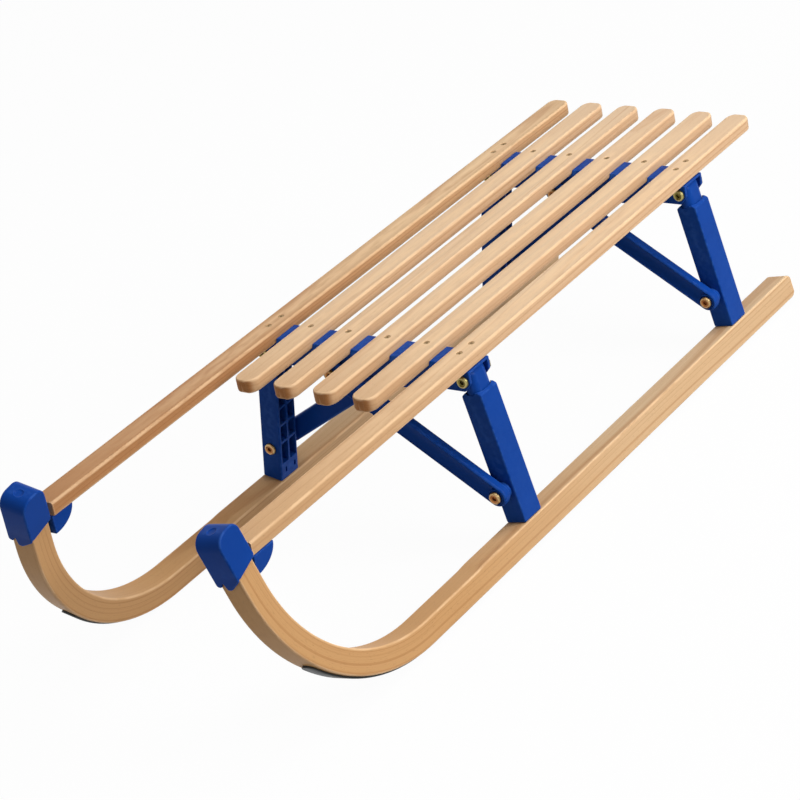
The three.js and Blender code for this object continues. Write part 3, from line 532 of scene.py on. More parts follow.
def beech(name, pale, warm, side, line, fore, ring_width, ring_strength):
    f = new_finish(name)
    drift_and_shade_colour, fore_start, fore_end, fore_strength = fore
    place = f.add("ShaderNodeTexCoord", output="Object")
    along = f.add("ShaderNodeSeparateXYZ", {}, {0: place}, "X")
    grain = f.attribute("grain", "Vector")
    parts = [f.add("ShaderNodeSeparateXYZ", {}, {0: grain}, axis) for axis in "XYZ"]
    side_slip = parts[1] + (f.noise(grain, (1.6, 8, 8), detail=3.0) - 0.5) * 0.02
    rise = parts[2] + (f.noise(grain, (1.1, 5, 5), detail=1.0) - 0.5) * 0.03
    radius = (side_slip * side_slip + rise * rise) ** 0.5 + parts[0] * 0.003
    rings = f.add("ShaderNodeTexNoise", {"noise_dimensions": "1D"}, {
        "W": radius * (1 / ring_width), "Scale": 1.0, "Detail": 2.5, "Roughness": 0.6})
    late_wood = f.between(rings, 0.54, 0.66)
    fibre = f.noise(grain, (7, 760, 760), detail=3.0, roughness=0.6)
    streak = f.noise(grain, (3, 190, 190))
    fleck = f.between(f.noise(grain, (170, 1700, 1700), detail=1.0), 0.65, 0.72)
    patch = f.between(f.noise(grain, (3.5, 26, 26)), 0.3, 0.7)
    end_grain = f.between(f.attribute("end_grain"), 0.5, 0.9)
    side_shade = f.between(f.attribute("side_shade"), 0.4, 0.95)
    rubbed = f.between(f.noise(grain, (30, 120, 120)), 0.3, 0.6, 0.45, 1.0)
    wear = f.attribute("wear") * rubbed

    ground = f.mixed(patch * 0.4 + f.between(streak, 0.35, 0.7) * 0.4, pale, warm)
    # Painted shade: faces that look to the side take the darker, more orange side colour.
    side_shaded = f.mixed(side_shade * 0.75, ground, side)
    # Partly a drift in tone, partly painted shade: the wood darkens towards the front.
    drifted_and_shaded = f.mixed(f.between(along, fore_start, fore_end) * fore_strength, side_shaded, drift_and_shade_colour)
    ringed = f.mixed(late_wood * ring_strength, drifted_and_shaded, line)
    fibred = f.mixed(f.between(fibre, 0.45, 0.75) * 0.2, ringed, line)
    flecked = f.mixed(fleck * 0.25, fibred, darker(line, 0.5))
    ended = f.mixed(end_grain * 0.8, flecked, f.mixed(fibre, END_PALE, END_DEEP))
    # Paler arrises: partly wear, partly a painted highlight.
    worn = f.mixed(wear * 0.5, ended, ARRIS_WEAR_AND_HIGHLIGHT)
    height = fibre * 0.5 + rings * 0.3 - fleck * 0.4
    return f.surface(
        Base_Color=worn,
        Roughness=0.38 + fibre * 0.16 + end_grain * 0.12 + wear * 0.06,
        IOR=1.38,
        Specular_IOR_Level=0.14,
        Coat_Weight=0.06 - wear * 0.03,
        Coat_Roughness=0.25,
        Normal=f.bump(height, 0.0002, 0.5))


# %% Three beeches
# The third colour of each beech is painted shade for the faces that look to the side.
SLAT_BEECH = beech("slat_beech", colour(228, 198, 163), colour(220, 183, 146), colour(222, 180, 138),
                   colour(190, 134, 90), (colour(209, 163, 114), -0.1, 0.45, 0.75), 0.0038, 0.34)
# A darker copy of the slats' beech, as painted shade for the far rail, which stands further from the light.
FAR_RAIL_SHADED_BEECH = beech("far_rail_shaded_beech", colour(222, 190, 150), colour(212, 172, 128), colour(214, 166, 118),
                  colour(164, 104, 62), (colour(182, 128, 82), -0.35, 0.3, 0.9), 0.0034, 0.4)
RUNNER_BEECH = beech("runner_beech", colour(222, 193, 155), colour(212, 174, 131), colour(217, 178, 134),
                     colour(178, 122, 72), (colour(207, 156, 101), -0.15, 0.3, 0.85), 0.0052, 0.42)
print("finishes:", SLAT_BEECH.name, FAR_RAIL_SHADED_BEECH.name, RUNNER_BEECH.name)

# %% [markdown]
# ## Blue mouldings
# Legs, struts, beams and caps are injection-moulded. A mould is often spark-eroded, which
# leaves a fine even grain on the plastic, and use adds hair scratches and paler, rubbed
# edges. The grain is bump only. The scratches come from the thin level lines of a noise.

# %% Plastic finish
def moulded(name, main, rubbed):
    f = new_finish(name)
    place = f.add("ShaderNodeTexCoord", output="Object")
    cloud = f.noise(place, 11.0, 3.0)
    spark = f.noise(place, 2600.0)
    scuff_map = f.noise(place, (38, 90, 60), 4.0, 0.55, 1.4)
    scuffs = f.between(f.add("ShaderNodeMath", {"operation": "ABSOLUTE"}, {0: scuff_map - 0.5}),
                       0.0, 0.006, 1.0, 0.0)
    scuffs = scuffs * f.between(cloud, 0.5, 0.62)
    wear = f.attribute("wear") * f.between(f.noise(place, 160.0, 3.0), 0.35, 0.66)
    base = f.mixed(f.between(cloud, 0.3, 0.7), darker(main, 0.86), main)
    scratched = f.mixed(scuffs * 0.16, base, rubbed)
    worn = f.mixed(wear * 0.3, scratched, rubbed)
    return f.surface(
        Base_Color=worn,
        Roughness=0.36 + (cloud - 0.5) * 0.12 + scuffs * 0.16 + wear * 0.1,
        IOR=1.34,
        Specular_IOR_Level=0.1,
        Normal=f.bump(spark + scuffs * -0.6, 0.00005, 0.4))


BLUE = moulded("blue_moulding", colour(16, 68, 156), colour(64, 108, 190))
print("finish:", BLUE.name)

# %% [markdown]
# ## Plated and blackened steel
# Yellow zinc plating is a thin film whose colour drifts between gold, green and rose. On a
# bolt head the colour also changes from the socket outwards: the socket is painted dark as
# painted shade, a paler ring on the dome is a painted highlight, and the rim is darker again.
# So the heads carry an attribute called radial, and a ramp follows it.
# The sole strip is bare dark steel, drawn lengthwise, which snow and gravel polish.

# %% Metal finishes
def plated(name, stops, rose, rough, metallic):
    f = new_finish(name)
    place = f.add("ShaderNodeTexCoord", output="Object")
    drift = f.noise(place, 260.0, 3.0)
    other = f.noise(place, 190.0, 2.0, 0.5, 0.6)
    spread = f.attribute("radial") + (drift - 0.5) * 0.16
    # The ramp paints shade in the socket or recess and a highlight ring, besides the plating's colour.
    film_and_painted_light = f.add("ShaderNodeValToRGB", {"stops": stops}, {"Fac": spread})
    film_and_painted_light = f.mixed(f.between(other, 0.5, 0.72) * 0.4, film_and_painted_light, rose)
    worn = f.mixed(f.attribute("wear") * 0.25, film_and_painted_light, colour(222, 206, 158))
    grain = f.noise(place, 3200.0)
    return f.surface(
        Base_Color=worn,
        Metallic=metallic,
        Roughness=rough + drift * 0.16 + grain * 0.06,
        Normal=f.bump(grain, 0.00004, 0.5))


# The olive and copper ramps paint shade in the socket, a paler ring of painted highlight on the dome, and a
# darker rim.
OLIVE = plated("yellow_zinc_olive", [
    (0.0, colour(26, 22, 10)), (0.38, colour(40, 34, 14)), (0.46, colour(112, 100, 40)),
    (0.66, colour(124, 114, 46)), (0.82, colour(176, 166, 92)), (1.0, colour(88, 82, 38))],
    colour(150, 118, 78), 0.24, 0.9)
COPPER = plated("yellow_zinc_copper", [
    (0.0, colour(34, 18, 8)), (0.38, colour(52, 30, 12)), (0.46, colour(150, 92, 40)),
    (0.7, colour(160, 100, 48)), (0.86, colour(180, 142, 90)), (1.0, colour(84, 62, 34))],
    colour(180, 100, 60), 0.24, 0.9)
# The screws' ramp paints shade in the cross recess and darkens again at the rim.
BROWN = plated("brown_zinc", [
    (0.0, colour(70, 44, 22)), (0.4, colour(148, 110, 66)), (0.8, colour(176, 136, 88)),
    (1.0, colour(132, 92, 54))], colour(170, 112, 70), 0.34, 0.5)


# %% Strip steel
def strip_steel(name):
    f = new_finish(name)
    grain = f.attribute("grain", "Vector")
    drawn = f.noise(grain, (12, 2400, 2400), detail=3.0)
    stain = f.between(f.noise(grain, (22, 60, 60), detail=4.0), 0.35, 0.65)
    wear = f.attribute("wear") * (0.4 + drawn)
    base = f.mixed(stain, colour(26, 28, 31), colour(46, 48, 50))
    lined = f.mixed(f.between(drawn, 0.5, 0.8) * 0.3, base, colour(84, 84, 84))
    worn = f.mixed(wear * 0.3, lined, colour(120, 118, 114))
    return f.surface(
        Base_Color=worn,
        Metallic=0.8,
        Roughness=0.34 + stain * 0.14 + drawn * 0.12,
        Normal=f.bump(drawn, 0.00006, 0.5))


STEEL = strip_steel("strip_steel")
print("finishes:", OLIVE.name, COPPER.name, BROWN.name, STEEL.name)

# %% [markdown]
# ## Slats and rails
# Six planed boards lie along the sledge. The four inner ones have well rounded ends, the
# two outer ones run on to the horns and are cut square there. Each is one rounded section
# drawn from rear to front, whose first and last rings shrink along the corner's circle.
# The screw holes are countersunk a little deeper than the screw heads.

# %% One board
SLAT_EDGE, LEAST_EDGE = 2.6, 0.15
SLAT_CORNER, SQUARE_END = 13, 1.0
SCREW_RADIUS, SCREW_SUNK = 3.6, 0.5
HOLE_PROFILE = [(2.2, -12), (2.2, -2.6), (3.75, -0.7), (3.75, 0.25), (4.3, 0.62), (4.3, 4)]


def board(name, front, y, front_corner):
    """A board of the seat, lying along x."""
    front_edge = min(front_corner, SLAT_EDGE)
    stations = [(SLAT_REAR + distance, distance, SLAT_CORNER, SLAT_EDGE)
                for distance in end_distances(SLAT_CORNER, SLAT_EDGE)]
    stations += [(front - distance, distance, front_corner, front_edge)
                 for distance in reversed(end_distances(front_corner, front_edge))]
    path = []
    for x, distance, corner, edge in stations:
        loss = end_loss(distance, edge)
        path.append((x, SLAT_MIDDLE, (0, 1), SLAT_HALF - end_loss(distance, corner),
                     (SEAT_TOP - SLAT_UNDERSIDE) / 2 - loss,
                     max(SLAT_EDGE - SLAT_EDGE / edge * loss, LEAST_EDGE)))
    return drawn_along(name, path, at(0, y, 0))


def with_screw_holes(piece, y):
    """A board with a hole for each screw whose head shows on it."""
    spots = [middle(name) for name in nodes_named("slat_screw", "rail_screw")]
    return cut(piece, *[turned("hole", HOLE_PROFILE, at(spot.x, spot.y, SEAT_TOP - SCREW_SUNK), 32)
                        for spot in spots if abs(spot.y - y) < 1])


# %% All six boards
def straight_grain(y):
    return lambda p: ((p.x - SLAT_REAR, p.y - y, p.z - SLAT_MIDDLE), (1, 0, 0))


boards = [(f"slat_{i}", f"inner_slat_{i}", SLAT_FRONT, SLAT_CORNER) for i in (1, 2, 3, 4)]
boards += [(f"rail_{side}", f"outer_rail_{side}", RAIL_FRONT, SQUARE_END) for side, _ in SIDES]
for seed, (name, node, front, corner) in enumerate(boards):
    y = middle(node).y
    piece = with_screw_holes(board(name, front, y, corner), y)
    mark_grain(piece.data, straight_grain(y), seed)
    # The far rail takes the darker copy of the beech, as painted shade.
    settle(piece, "seat", FAR_RAIL_SHADED_BEECH if name == "rail_right" else SLAT_BEECH, node)
print("boards:", len(boards), "of", round(2 * SLAT_HALF), "x", round(SEAT_TOP - SLAT_UNDERSIDE), "mm")

# %% [markdown]
# ## Runners
# A runner is one beech batten, steamed and bent up until its horn leans slightly forward. The
# fibre follows the bend, so the section is drawn along the real path and the grain attribute
# is the distance along it. Just before the bend the batten is planed thinner to bend evenly.

# %% The path of a runner
RUNNER_EDGE = 2.0
RUNNER_CORNER = 9.0
THIN_FROM, THIN_TO, THIN_STEPS, THIN_MARGIN = BEND_X - 120, BEND_X - 99, 6, 8
BEND_STEP = math.radians(2.5)


def runner_thickness(x):
    return RUNNER_HEIGHT - (RUNNER_HEIGHT - RUNNER_THIN) * smooth_step(x, THIN_FROM, THIN_TO)


def runner_stations():
    """Stations along a runner, from its rear end to the tip of its horn."""
    stations = []

    def add(x, w, inward, thickness, distance, corner):
        centre, side_loss = thickness / 2, end_loss(distance, RUNNER_EDGE)
        stations.append((x + inward[0] * centre, w + inward[1] * centre, inward,
                         RUNNER_HALF - side_loss, centre - end_loss(distance, corner),
                         RUNNER_EDGE - side_loss * 0.9))

    for distance in end_distances(RUNNER_CORNER, RUNNER_EDGE):
        add(RUNNER_REAR + distance, -RUNNER_HEIGHT, (0, 1), RUNNER_HEIGHT, distance, RUNNER_CORNER)
    thinning = [THIN_FROM + (THIN_TO - THIN_FROM) * k / THIN_STEPS for k in range(THIN_STEPS + 1)]
    for x in [THIN_FROM - THIN_MARGIN, *thinning, THIN_TO + THIN_MARGIN]:
        add(x, -RUNNER_HEIGHT, (0, 1), runner_thickness(x), RUNNER_CORNER, RUNNER_CORNER)
    steps = round(BEND_TURN / BEND_STEP)
    for k in range(steps + 1):
        turn = BEND_TURN * k / steps
        outward = (math.sin(turn), -math.cos(turn))
        add(BEND_X + BEND_OUTER * outward[0], BEND_W + BEND_OUTER * outward[1],
            (-outward[0], -outward[1]), RUNNER_THIN, RUNNER_CORNER, RUNNER_CORNER)
    for distance in reversed(end_distances(RUNNER_EDGE)):
        spot = HORN_FRAME @ Vector((BEND_OUTER, 0, HORN_LENGTH - distance))
        add(spot.x, spot.z, (-math.cos(LEAN), math.sin(LEAN)), RUNNER_THIN, distance, RUNNER_EDGE)
    return stations


# %% Grain that follows the bend
HORN_BACK = HORN_FRAME.inverted()


def path_place(x, w):
    """Distance along the runner, height over its sole and fibre direction, in the side's plane."""
    middle_radius = BEND_OUTER - RUNNER_THIN / 2
    if x <= BEND_X:
        return x - RUNNER_REAR, w + RUNNER_HEIGHT, (1, 0)
    start = BEND_X - RUNNER_REAR
    in_horn = HORN_BACK @ Vector((x, 0, w))
    if in_horn.z >= 0:
        along = start + middle_radius * BEND_TURN + in_horn.z
        return along, BEND_OUTER - in_horn.x, (math.sin(LEAN), math.cos(LEAN))
    turn = math.atan2(x - BEND_X, BEND_W - w)
    radius = math.hypot(x - BEND_X, BEND_W - w)
    return start + middle_radius * turn, BEND_OUTER - radius, (math.cos(turn), math.sin(turn))


def bent_grain(sign):
    back = SIDE_FRAME[sign].inverted()
    turn = SIDE_FRAME[sign].to_3x3()

    def grain_at(point):
        local = back @ point
        along, height, fibre = path_place(local.x, local.z)
        return (along, local.y, height), turn @ Vector((fibre[0], 0, fibre[1]))

    return grain_at


# %% Both runners
PIN_REACH = 19.3
for side, sign in SIDES:
    piece = drawn_along(f"runner_{side}_bent", runner_stations(), SIDE_FRAME[sign])
    piece = cut(piece, bore(RAIL_FRONT, PIN_REACH, 0, AXLE, SIDE_FRAME[sign], 40))
    mark_grain(piece.data, bent_grain(sign), 20 + sign)
    settle(piece, f"{side}_side", RUNNER_BEECH, f"runner_{side}")
print("runner stations:", len(runner_stations()))

# %% [markdown]
# ## Sole strips
# A flat steel strip lies under each runner and follows the start of the bend, where
# it ends in a rounded tip. It is drawn along the same path, one strip thickness lower.

# %% Both strips
STRIP_HALF, STRIP_THICK, STRIP_GAP = 9.0, 2.5, 0.2
STRIP_EDGE, STRIP_TIP, STRIP_TIP_HALF, STRIP_STEPS = 0.6, 8.5, 0.5, 20
STRIP_REAR = RUNNER_REAR + 14
STRIP_TURN = math.radians(50)


def strip_stations():
    radius = BEND_OUTER + (STRIP_GAP + STRIP_THICK / 2)
    bend = BEND_X - STRIP_REAR
    length = bend + radius * STRIP_TURN
    ends = end_distances(STRIP_TIP)
    curve = [bend + (length - ends[-1] - bend) * k / STRIP_STEPS for k in range(STRIP_STEPS)]
    stations = []
    for along in ends + curve + [length - distance for distance in reversed(ends)]:
        half = STRIP_HALF - end_loss(min(along, length - along), STRIP_TIP)
        turn = max(0.0, (along - bend) / radius)
        x = min(STRIP_REAR + along, BEND_X) + radius * math.sin(turn)
        stations.append((x, BEND_W - radius * math.cos(turn), (-math.sin(turn), math.cos(turn)),
                         max(half, STRIP_TIP_HALF), STRIP_THICK / 2, STRIP_EDGE))
    return stations


for side, sign in SIDES:
    piece = drawn_along(f"sole_strip_{side}", strip_stations(), SIDE_FRAME[sign])
    mark_grain(piece.data, bent_grain(sign), 30 + sign)
    settle(piece, f"{side}_side", STEEL, f"steel_strip_{side}")
print("strip stations:", len(strip_stations()))

# %% [markdown]
# ## Horn caps
# A hollow moulding is pushed over the tip of each horn. Its top is strongly rounded from
# front to back and its underside slants up towards the rear. The front wall hangs lower, as a
# lip with a notch. Both caps are the same moulding, so the notch is at their right on both.
# A round mark in the roof shows where the plastic went in.

# %% Both caps
CAP_REAR, CAP_FRONT = BEND_INNER - 3.5, BEND_OUTER + 3.5
CAP_TOP, CAP_FRONT_BOTTOM, CAP_REAR_BOTTOM = 78.5, 25.2, 31.5
CAP_HALF, CAP_RIM, CAP_GAP, MARK_X = 17.3, 2.0, 0.3, 216
TONGUE = [[-16.9, 17.9, 3.6], [-10.5, 17.9, 3.0], [-8.3, 23.0, 1.2], [-6.3, 23.0, 1.0],
          [-4.5, 14.6, 3.0], [1.3, 14.2, 6.0], [16.9, 25.4, 4.0], [16.9, 40, 2.0], [-16.9, 40, 2.0]]
DIMPLE = [(0.01, -1.0), (3.4, -1.0), (5.0, -0.75), (5.9, -0.1), (6.4, 0.6), (6.4, 3)]


def cap(name, place):
    sides = [[CAP_REAR, CAP_REAR_BOTTOM, 4.2], [CAP_FRONT, CAP_FRONT_BOTTOM, 5.2],
             [CAP_FRONT, CAP_TOP, 15], [CAP_REAR, CAP_TOP, 12]]
    shell = plate(name, sides, 2 * CAP_HALF, CAP_RIM, place @ across(CAP_HALF), 8, 6)
    shell = joined(shell, plate("lip", TONGUE, 2.95, 1.2, place @ forward(CAP_FRONT - 3.0), 6, 4))
    gap, half = CAP_GAP, RUNNER_HALF + CAP_GAP
    horn = rectangle(BEND_INNER - gap, BEND_OUTER + gap, -20, HORN_LENGTH + gap, 0.6)
    room = plate("room", horn, 2 * half, 0, place @ across(half), 2)
    return cut(shell, room, turned("mark", DIMPLE, place @ at(MARK_X, 0, CAP_TOP), 48))


for side, sign in SIDES:
    piece = cap(f"cap_{side}", SIDE_FRAME[sign] @ HORN_FRAME)
    settle(piece, f"{side}_side", BLUE, f"horn_cap_{side}")
print("caps are", 2 * CAP_HALF, "mm wide")

# %% [markdown]
# ## Legs
# A leg is a hollow box with a solid outer face. Its inner face shows two columns of deep
# pockets, which keep the walls evenly thick so that the plastic doesn't sink as it cools.
# On the sloping shoulder stands a rounded neck, and the hinge bolt goes through its knuckle.

# %% One leg
LEG_HALF, LEG_REACH, LEG_RIM = 13.7, 16.75, 1.7
SHOULDER, SHOULDER_DROP = AXLE - 17.5, 3
NECK_HALF, NECK_REACH, NECK_ROOT = 9.3, 16.2, 6
KNUCKLE_TURNS = (0, 10, 20, 30, 40, 50, 60, 68, 75, 81)
MOAT, MOAT_DEEP = 1.5, 2.6
STRUT_AXLE = 0.2392 * AXLE
POCKET_FROM, POCKET_TO = 24.3, 158.8
POCKET_RIBS = (53.8, 78.2, 102.6, 127.1)
POCKET_RIB, POCKET_DEEP = 3.0, 17.0
FOOT_SLOTS, FOOT_SLOT_WIDE, FOOT_SLOT_FROM, FOOT_SLOT_TO = (-11.5, 5.5), 3.2, 9.5, 17
LEG_BORE_REACH = 30


def leg_body(name, x, place):
    low = SHOULDER - SHOULDER_DROP
    sides = [[-LEG_HALF, 0.2, 2.4], [LEG_HALF, 0.2, 2.4], [LEG_HALF, low, 3.0],
             [NECK_HALF, SHOULDER, 3.0], [-NECK_HALF, SHOULDER, 3.0], [-LEG_HALF, low, 3.0]]
    return plate(name, sides, 2 * LEG_REACH, LEG_RIM, place @ forward(x - LEG_REACH), 5)


# %% A leg's neck
def knuckle(x, place):
    """The neck, rounded at its upright corners, and the round top that the bolt goes through."""
    heights = [(SHOULDER - NECK_ROOT, NECK_HALF)]
    heights += [(AXLE + NECK_HALF * math.sin(turn), NECK_HALF * math.cos(turn))
                for turn in map(math.radians, KNUCKLE_TURNS)]
    rings = [[(x + p.x, p.y, w) for p in section(NECK_REACH, half, half)] for w, half in heights]
    return from_rings("knuckle", rings, place)


def moat(x, place):
    """A shallow groove in the shoulder round the foot of the neck."""
    ring = section(NECK_REACH + MOAT, NECK_HALF + MOAT, NECK_HALF + MOAT)
    rings = [[(x + p.x, p.y, w) for p in ring] for w in (SHOULDER - MOAT_DEEP, SHOULDER + 4)]
    return from_rings("moat", rings, place)


# %% A leg's openings
def foot_slots(x, sign, place):
    """Tools for two small openings under the pockets, near the leg's foot."""
    sunk = place @ at(0, -sign * LEG_HALF, 0) @ across(2.5)
    return [plate("slot", rectangle(x + left, x + left + FOOT_SLOT_WIDE, FOOT_SLOT_FROM, FOOT_SLOT_TO, 0.8),
                  5, 0, sunk, 3) for left in FOOT_SLOTS]


def pockets(x, sign, place):
    """Tools for the pockets, which open towards the middle of the sledge."""
    width = (2 * LEG_REACH - 3 * POCKET_RIB) / 2
    floor_y = -sign * (LEG_HALF - POCKET_DEEP)
    sunk = place @ at(0, floor_y - sign * POCKET_DEEP, 0) @ across(POCKET_DEEP)
    bottoms = [POCKET_FROM] + [rib + POCKET_RIB / 2 for rib in POCKET_RIBS]
    tops = [rib - POCKET_RIB / 2 for rib in POCKET_RIBS] + [POCKET_TO]
    tools = []
    for column in (0, 1):
        for bottom, top in zip(bottoms, tops):
            left = x - LEG_REACH + POCKET_RIB + column * (width + POCKET_RIB)
            shape = rectangle(left, left + width, bottom, top, 1.4)
            tools.append(plate("pocket", shape, 2 * POCKET_DEEP, 0.8, sunk, 3, 3))
    return tools


# %% Four legs
for side, sign in SIDES:
    place = SIDE_FRAME[sign]
    for end in ENDS:
        x = LEG_X[end]
        piece = cut(leg_body(f"leg_{end}_{side}", x, place), moat(x, place))
        piece = joined(piece, knuckle(x, place))
        bores = [bore(x - LEG_BORE_REACH, 2 * LEG_BORE_REACH, 0, w, place) for w in (AXLE, STRUT_AXLE)]
        piece = cut(piece, *pockets(x, sign, place), *foot_slots(x, sign, place), *bores)
        settle(piece, f"{side}_side", BLUE, f"{end}_leg_{side}")
print("legs are", round(AXLE), "mm from runner to hinge")

# %% [markdown]
# ## Struts
# A strut is a flat moulding with round ends and a round eye at each bolt. A shallow hollow
# along its front catches the light. Its tool is skinned from stations that grow narrower and
# shallower towards both ends, so that the hollow runs out without a step. The left struts
# pass in front of the beams and the right ones behind, so that they don't meet when folded.

# %% Places of a strut
UPPER_Y, UPPER_DROP = -33.6, 8
strut_low = Vector((RUNNER_Y - STRUT_AXLE * math.sin(SPLAY), RUNNER_TOP_Z + STRUT_AXLE * math.cos(SPLAY)))
strut_high = Vector((UPPER_Y, HINGE.z - UPPER_DROP))
STRUT_LENGTH = (strut_high - strut_low).length
STRUT_FACE, STRUT_DEPTH = 23.0, 12.6
STRUT_HALF, STRUT_RIM = 12.8, 3.4
EYE, EDGE, TROUGH, TROUGH_STEPS = 9.8, 2.2, 4.6, 16
EYE_FOOT, EYE_HEAD = 17.05, 21.25
HEAD_RADIUS, GROOVE_DEEP = 7.4, 1.6
STRUT_BORE_FROM, STRUT_BORE_LENGTH = 10, 30


def strut_frame(side, end):
    run = strut_high - strut_low
    turned_round = Matrix.Rotation(0 if side == "left" else math.pi, 4, "Z")
    return (at(LEG_X[end], 0, 0) @ turned_round
            @ at(0, *strut_low) @ Matrix.Rotation(math.atan2(run.y, run.x), 4, "X"))


# %% One strut
def strut(name, place):
    """A strut that lies along its own y axis, with its lower bolt at the origin."""
    shape = rectangle(-STRUT_HALF, STRUT_LENGTH + STRUT_HALF, -STRUT_HALF, STRUT_HALF, STRUT_HALF - 0.05)
    body = plate(name, shape, STRUT_DEPTH, STRUT_RIM, place @ forward(STRUT_FACE), 14, 8)
    front = STRUT_FACE + STRUT_DEPTH
    ends = ((0, EYE_FOOT), (STRUT_LENGTH, EYE_HEAD))
    body = cut(body, trough(front, place))
    body = joined(body, *[turned("eye", eye_profile(front - x), place @ pointing_forward(x, y, 0), 48)
                          for y, x in ends])
    body = cut(body, *[ring_groove(front, y, place) for y, _ in ends])
    return cut(body, *[bore(STRUT_BORE_FROM, STRUT_BORE_LENGTH, y, 0, place) for y, _ in ends])


# %% A strut's hollow, eyes and grooves
def trough(front, place):
    """A smooth hollow along the strut's front, which runs out at both round ends."""
    reach = STRUT_HALF - EDGE
    turns = [math.radians(86 - 86 * k / TROUGH_STEPS) for k in range(TROUGH_STEPS + 1)]
    stations = [(-reach * math.sin(turn), math.cos(turn)) for turn in turns]
    stations += [(STRUT_LENGTH - y, share) for y, share in reversed(stations)]
    sweep = [math.pi * k / TROUGH_STEPS for k in range(TROUGH_STEPS + 1)]
    rings = []
    for y, share in stations:
        wide = reach * share
        bottom = [(front + 0.2 - TROUGH * share * math.sin(a), y, -wide * math.cos(a)) for a in sweep]
        rings.append([(front + 2, y, wide), (front + 2, y, -wide)] + bottom)
    return from_rings("trough", rings, place)


def eye_profile(height):
    top = [(EYE, height - 0.8), (EYE - 0.25, height - 0.25), (EYE - 0.8, height)]
    return [(EYE - 0.6, 0), (EYE, 0.6), *top]


def ring_groove(front, y, place):
    """A groove round the bolt head, which shows as a dark ring."""
    lie = place @ pointing_forward(front - GROOVE_DEEP, y, 0)
    outer = turned("groove", [(EYE - 0.9, 0), (EYE - 0.9, 3)], lie, 48)
    return cut(outer, turned("core", [(HEAD_RADIUS - 0.6, -1), (HEAD_RADIUS - 0.6, 4)], lie, 48))


# %% Four struts
for side, _ in SIDES:
    for end in ENDS:
        piece = strut(f"strut_{end}_{side}", strut_frame(side, end))
        settle(piece, f"{end}_{side}_strut", BLUE, f"{end}_strut_{side}")
print("struts are", round(STRUT_LENGTH), "mm between bolts")

# %% [markdown]
# ## Beams
# Each beam is an upside-down channel that carries the slats. Blocks on its top space the
# slats, ribs and screw bosses stiffen it underneath, and its ends fork round the knuckles.
# It is put together from plates with rounded rims and joined into one body, as a moulding is.

# %% Beam sizes
BEAM_HALF, BEAM_WALL, BEAM_PLATE = 20.95, 3.9, 2.5
BEAM_END = HINGE.y + 9.5
END_DROP, MIDDLE_DROP, END_CUT_Y, END_CUT_Z = 25.5, 31.5, 9, 11
MIDDLE_HALF, SLOPE = 62, 22
SLOT_LENGTH, SLOT_HALF = 74.6, 4.3
SPACER_RISE, SPACER_GAP = 6.0, 0.5
RIB_SHARES, RIB_DROP = (-0.75, -0.375, 0, 0.375, 0.75), 18
BOSS_PROFILE = [(4.6, 0), (5.3, 0.7), (5.5, 8), (5.5, 16)]
BEAM_BORE_REACH = 25
CEILING = SLAT_UNDERSIDE - BEAM_PLATE
board_places = sorted(middle(node).y for _, node, _, _ in boards)


# %% The walls and the top
def beam_wall(start):
    top, end = SLAT_UNDERSIDE, BEAM_END
    low = top - END_DROP
    right = [[MIDDLE_HALF, top - MIDDLE_DROP, 7], [MIDDLE_HALF + SLOPE, low, 7],
             [end - END_CUT_Y, low, 2.6], [end, low + END_CUT_Z, 2.6], [end, top, 0.4]]
    corners = [[-y, z, radius] for y, z, radius in reversed(right)] + right
    return plate("wall", corners, BEAM_WALL, 0.9, forward(start), 5)


def beam_slot(start, sign):
    z = HINGE.z - UPPER_DROP
    near, far = sorted((sign * UPPER_Y, sign * (UPPER_Y + SLOT_LENGTH)))
    shape = rectangle(near - SLOT_HALF, far + SLOT_HALF, z - SLOT_HALF, z + SLOT_HALF, SLOT_HALF - 0.05)
    return plate("slot", shape, BEAM_WALL + 4, 0, forward(start - 2), 8)


def spacers(x):
    """The blocks between the slats, chamfered towards the front and the rear."""
    blocks = []
    for low, high in zip(board_places, board_places[1:]):
        near, far = low + SLAT_HALF + SPACER_GAP, high - SLAT_HALF - SPACER_GAP
        top, foot = SLAT_UNDERSIDE + SPACER_RISE, SLAT_UNDERSIDE - 2
        shape = [[x - BEAM_HALF, foot, 0.3], [x + BEAM_HALF, foot, 0.3],
                 [x + BEAM_HALF, SLAT_UNDERSIDE + 0.3, 0.6], [x + BEAM_HALF - 3, top, 1.2],
                 [x - BEAM_HALF + 3, top, 1.2], [x - BEAM_HALF, SLAT_UNDERSIDE + 0.3, 0.6]]
        lie = at(0, (near + far) / 2, 0) @ across((far - near) / 2)
        blocks.append(plate("block", shape, far - near, 0.5, lie, 4, 3))
    return blocks


# %% Ribs and bosses
def beam_ribs(x):
    inner = BEAM_HALF - BEAM_WALL + 1
    shape = rectangle(x - inner, x + inner, CEILING - RIB_DROP, CEILING + 1, 0.4)
    return [plate("rib", shape, 2.6, 0.5, at(0, share * BEAM_END, 0) @ across(1.3), 2, 2)
            for share in RIB_SHARES]


def screw_bosses(end):
    spots = [middle(name) for name in nodes_named(f"slat_screw_{end}")]
    return [turned("boss", BOSS_PROFILE, at(spot.x, spot.y, CEILING - 15), 32) for spot in spots]


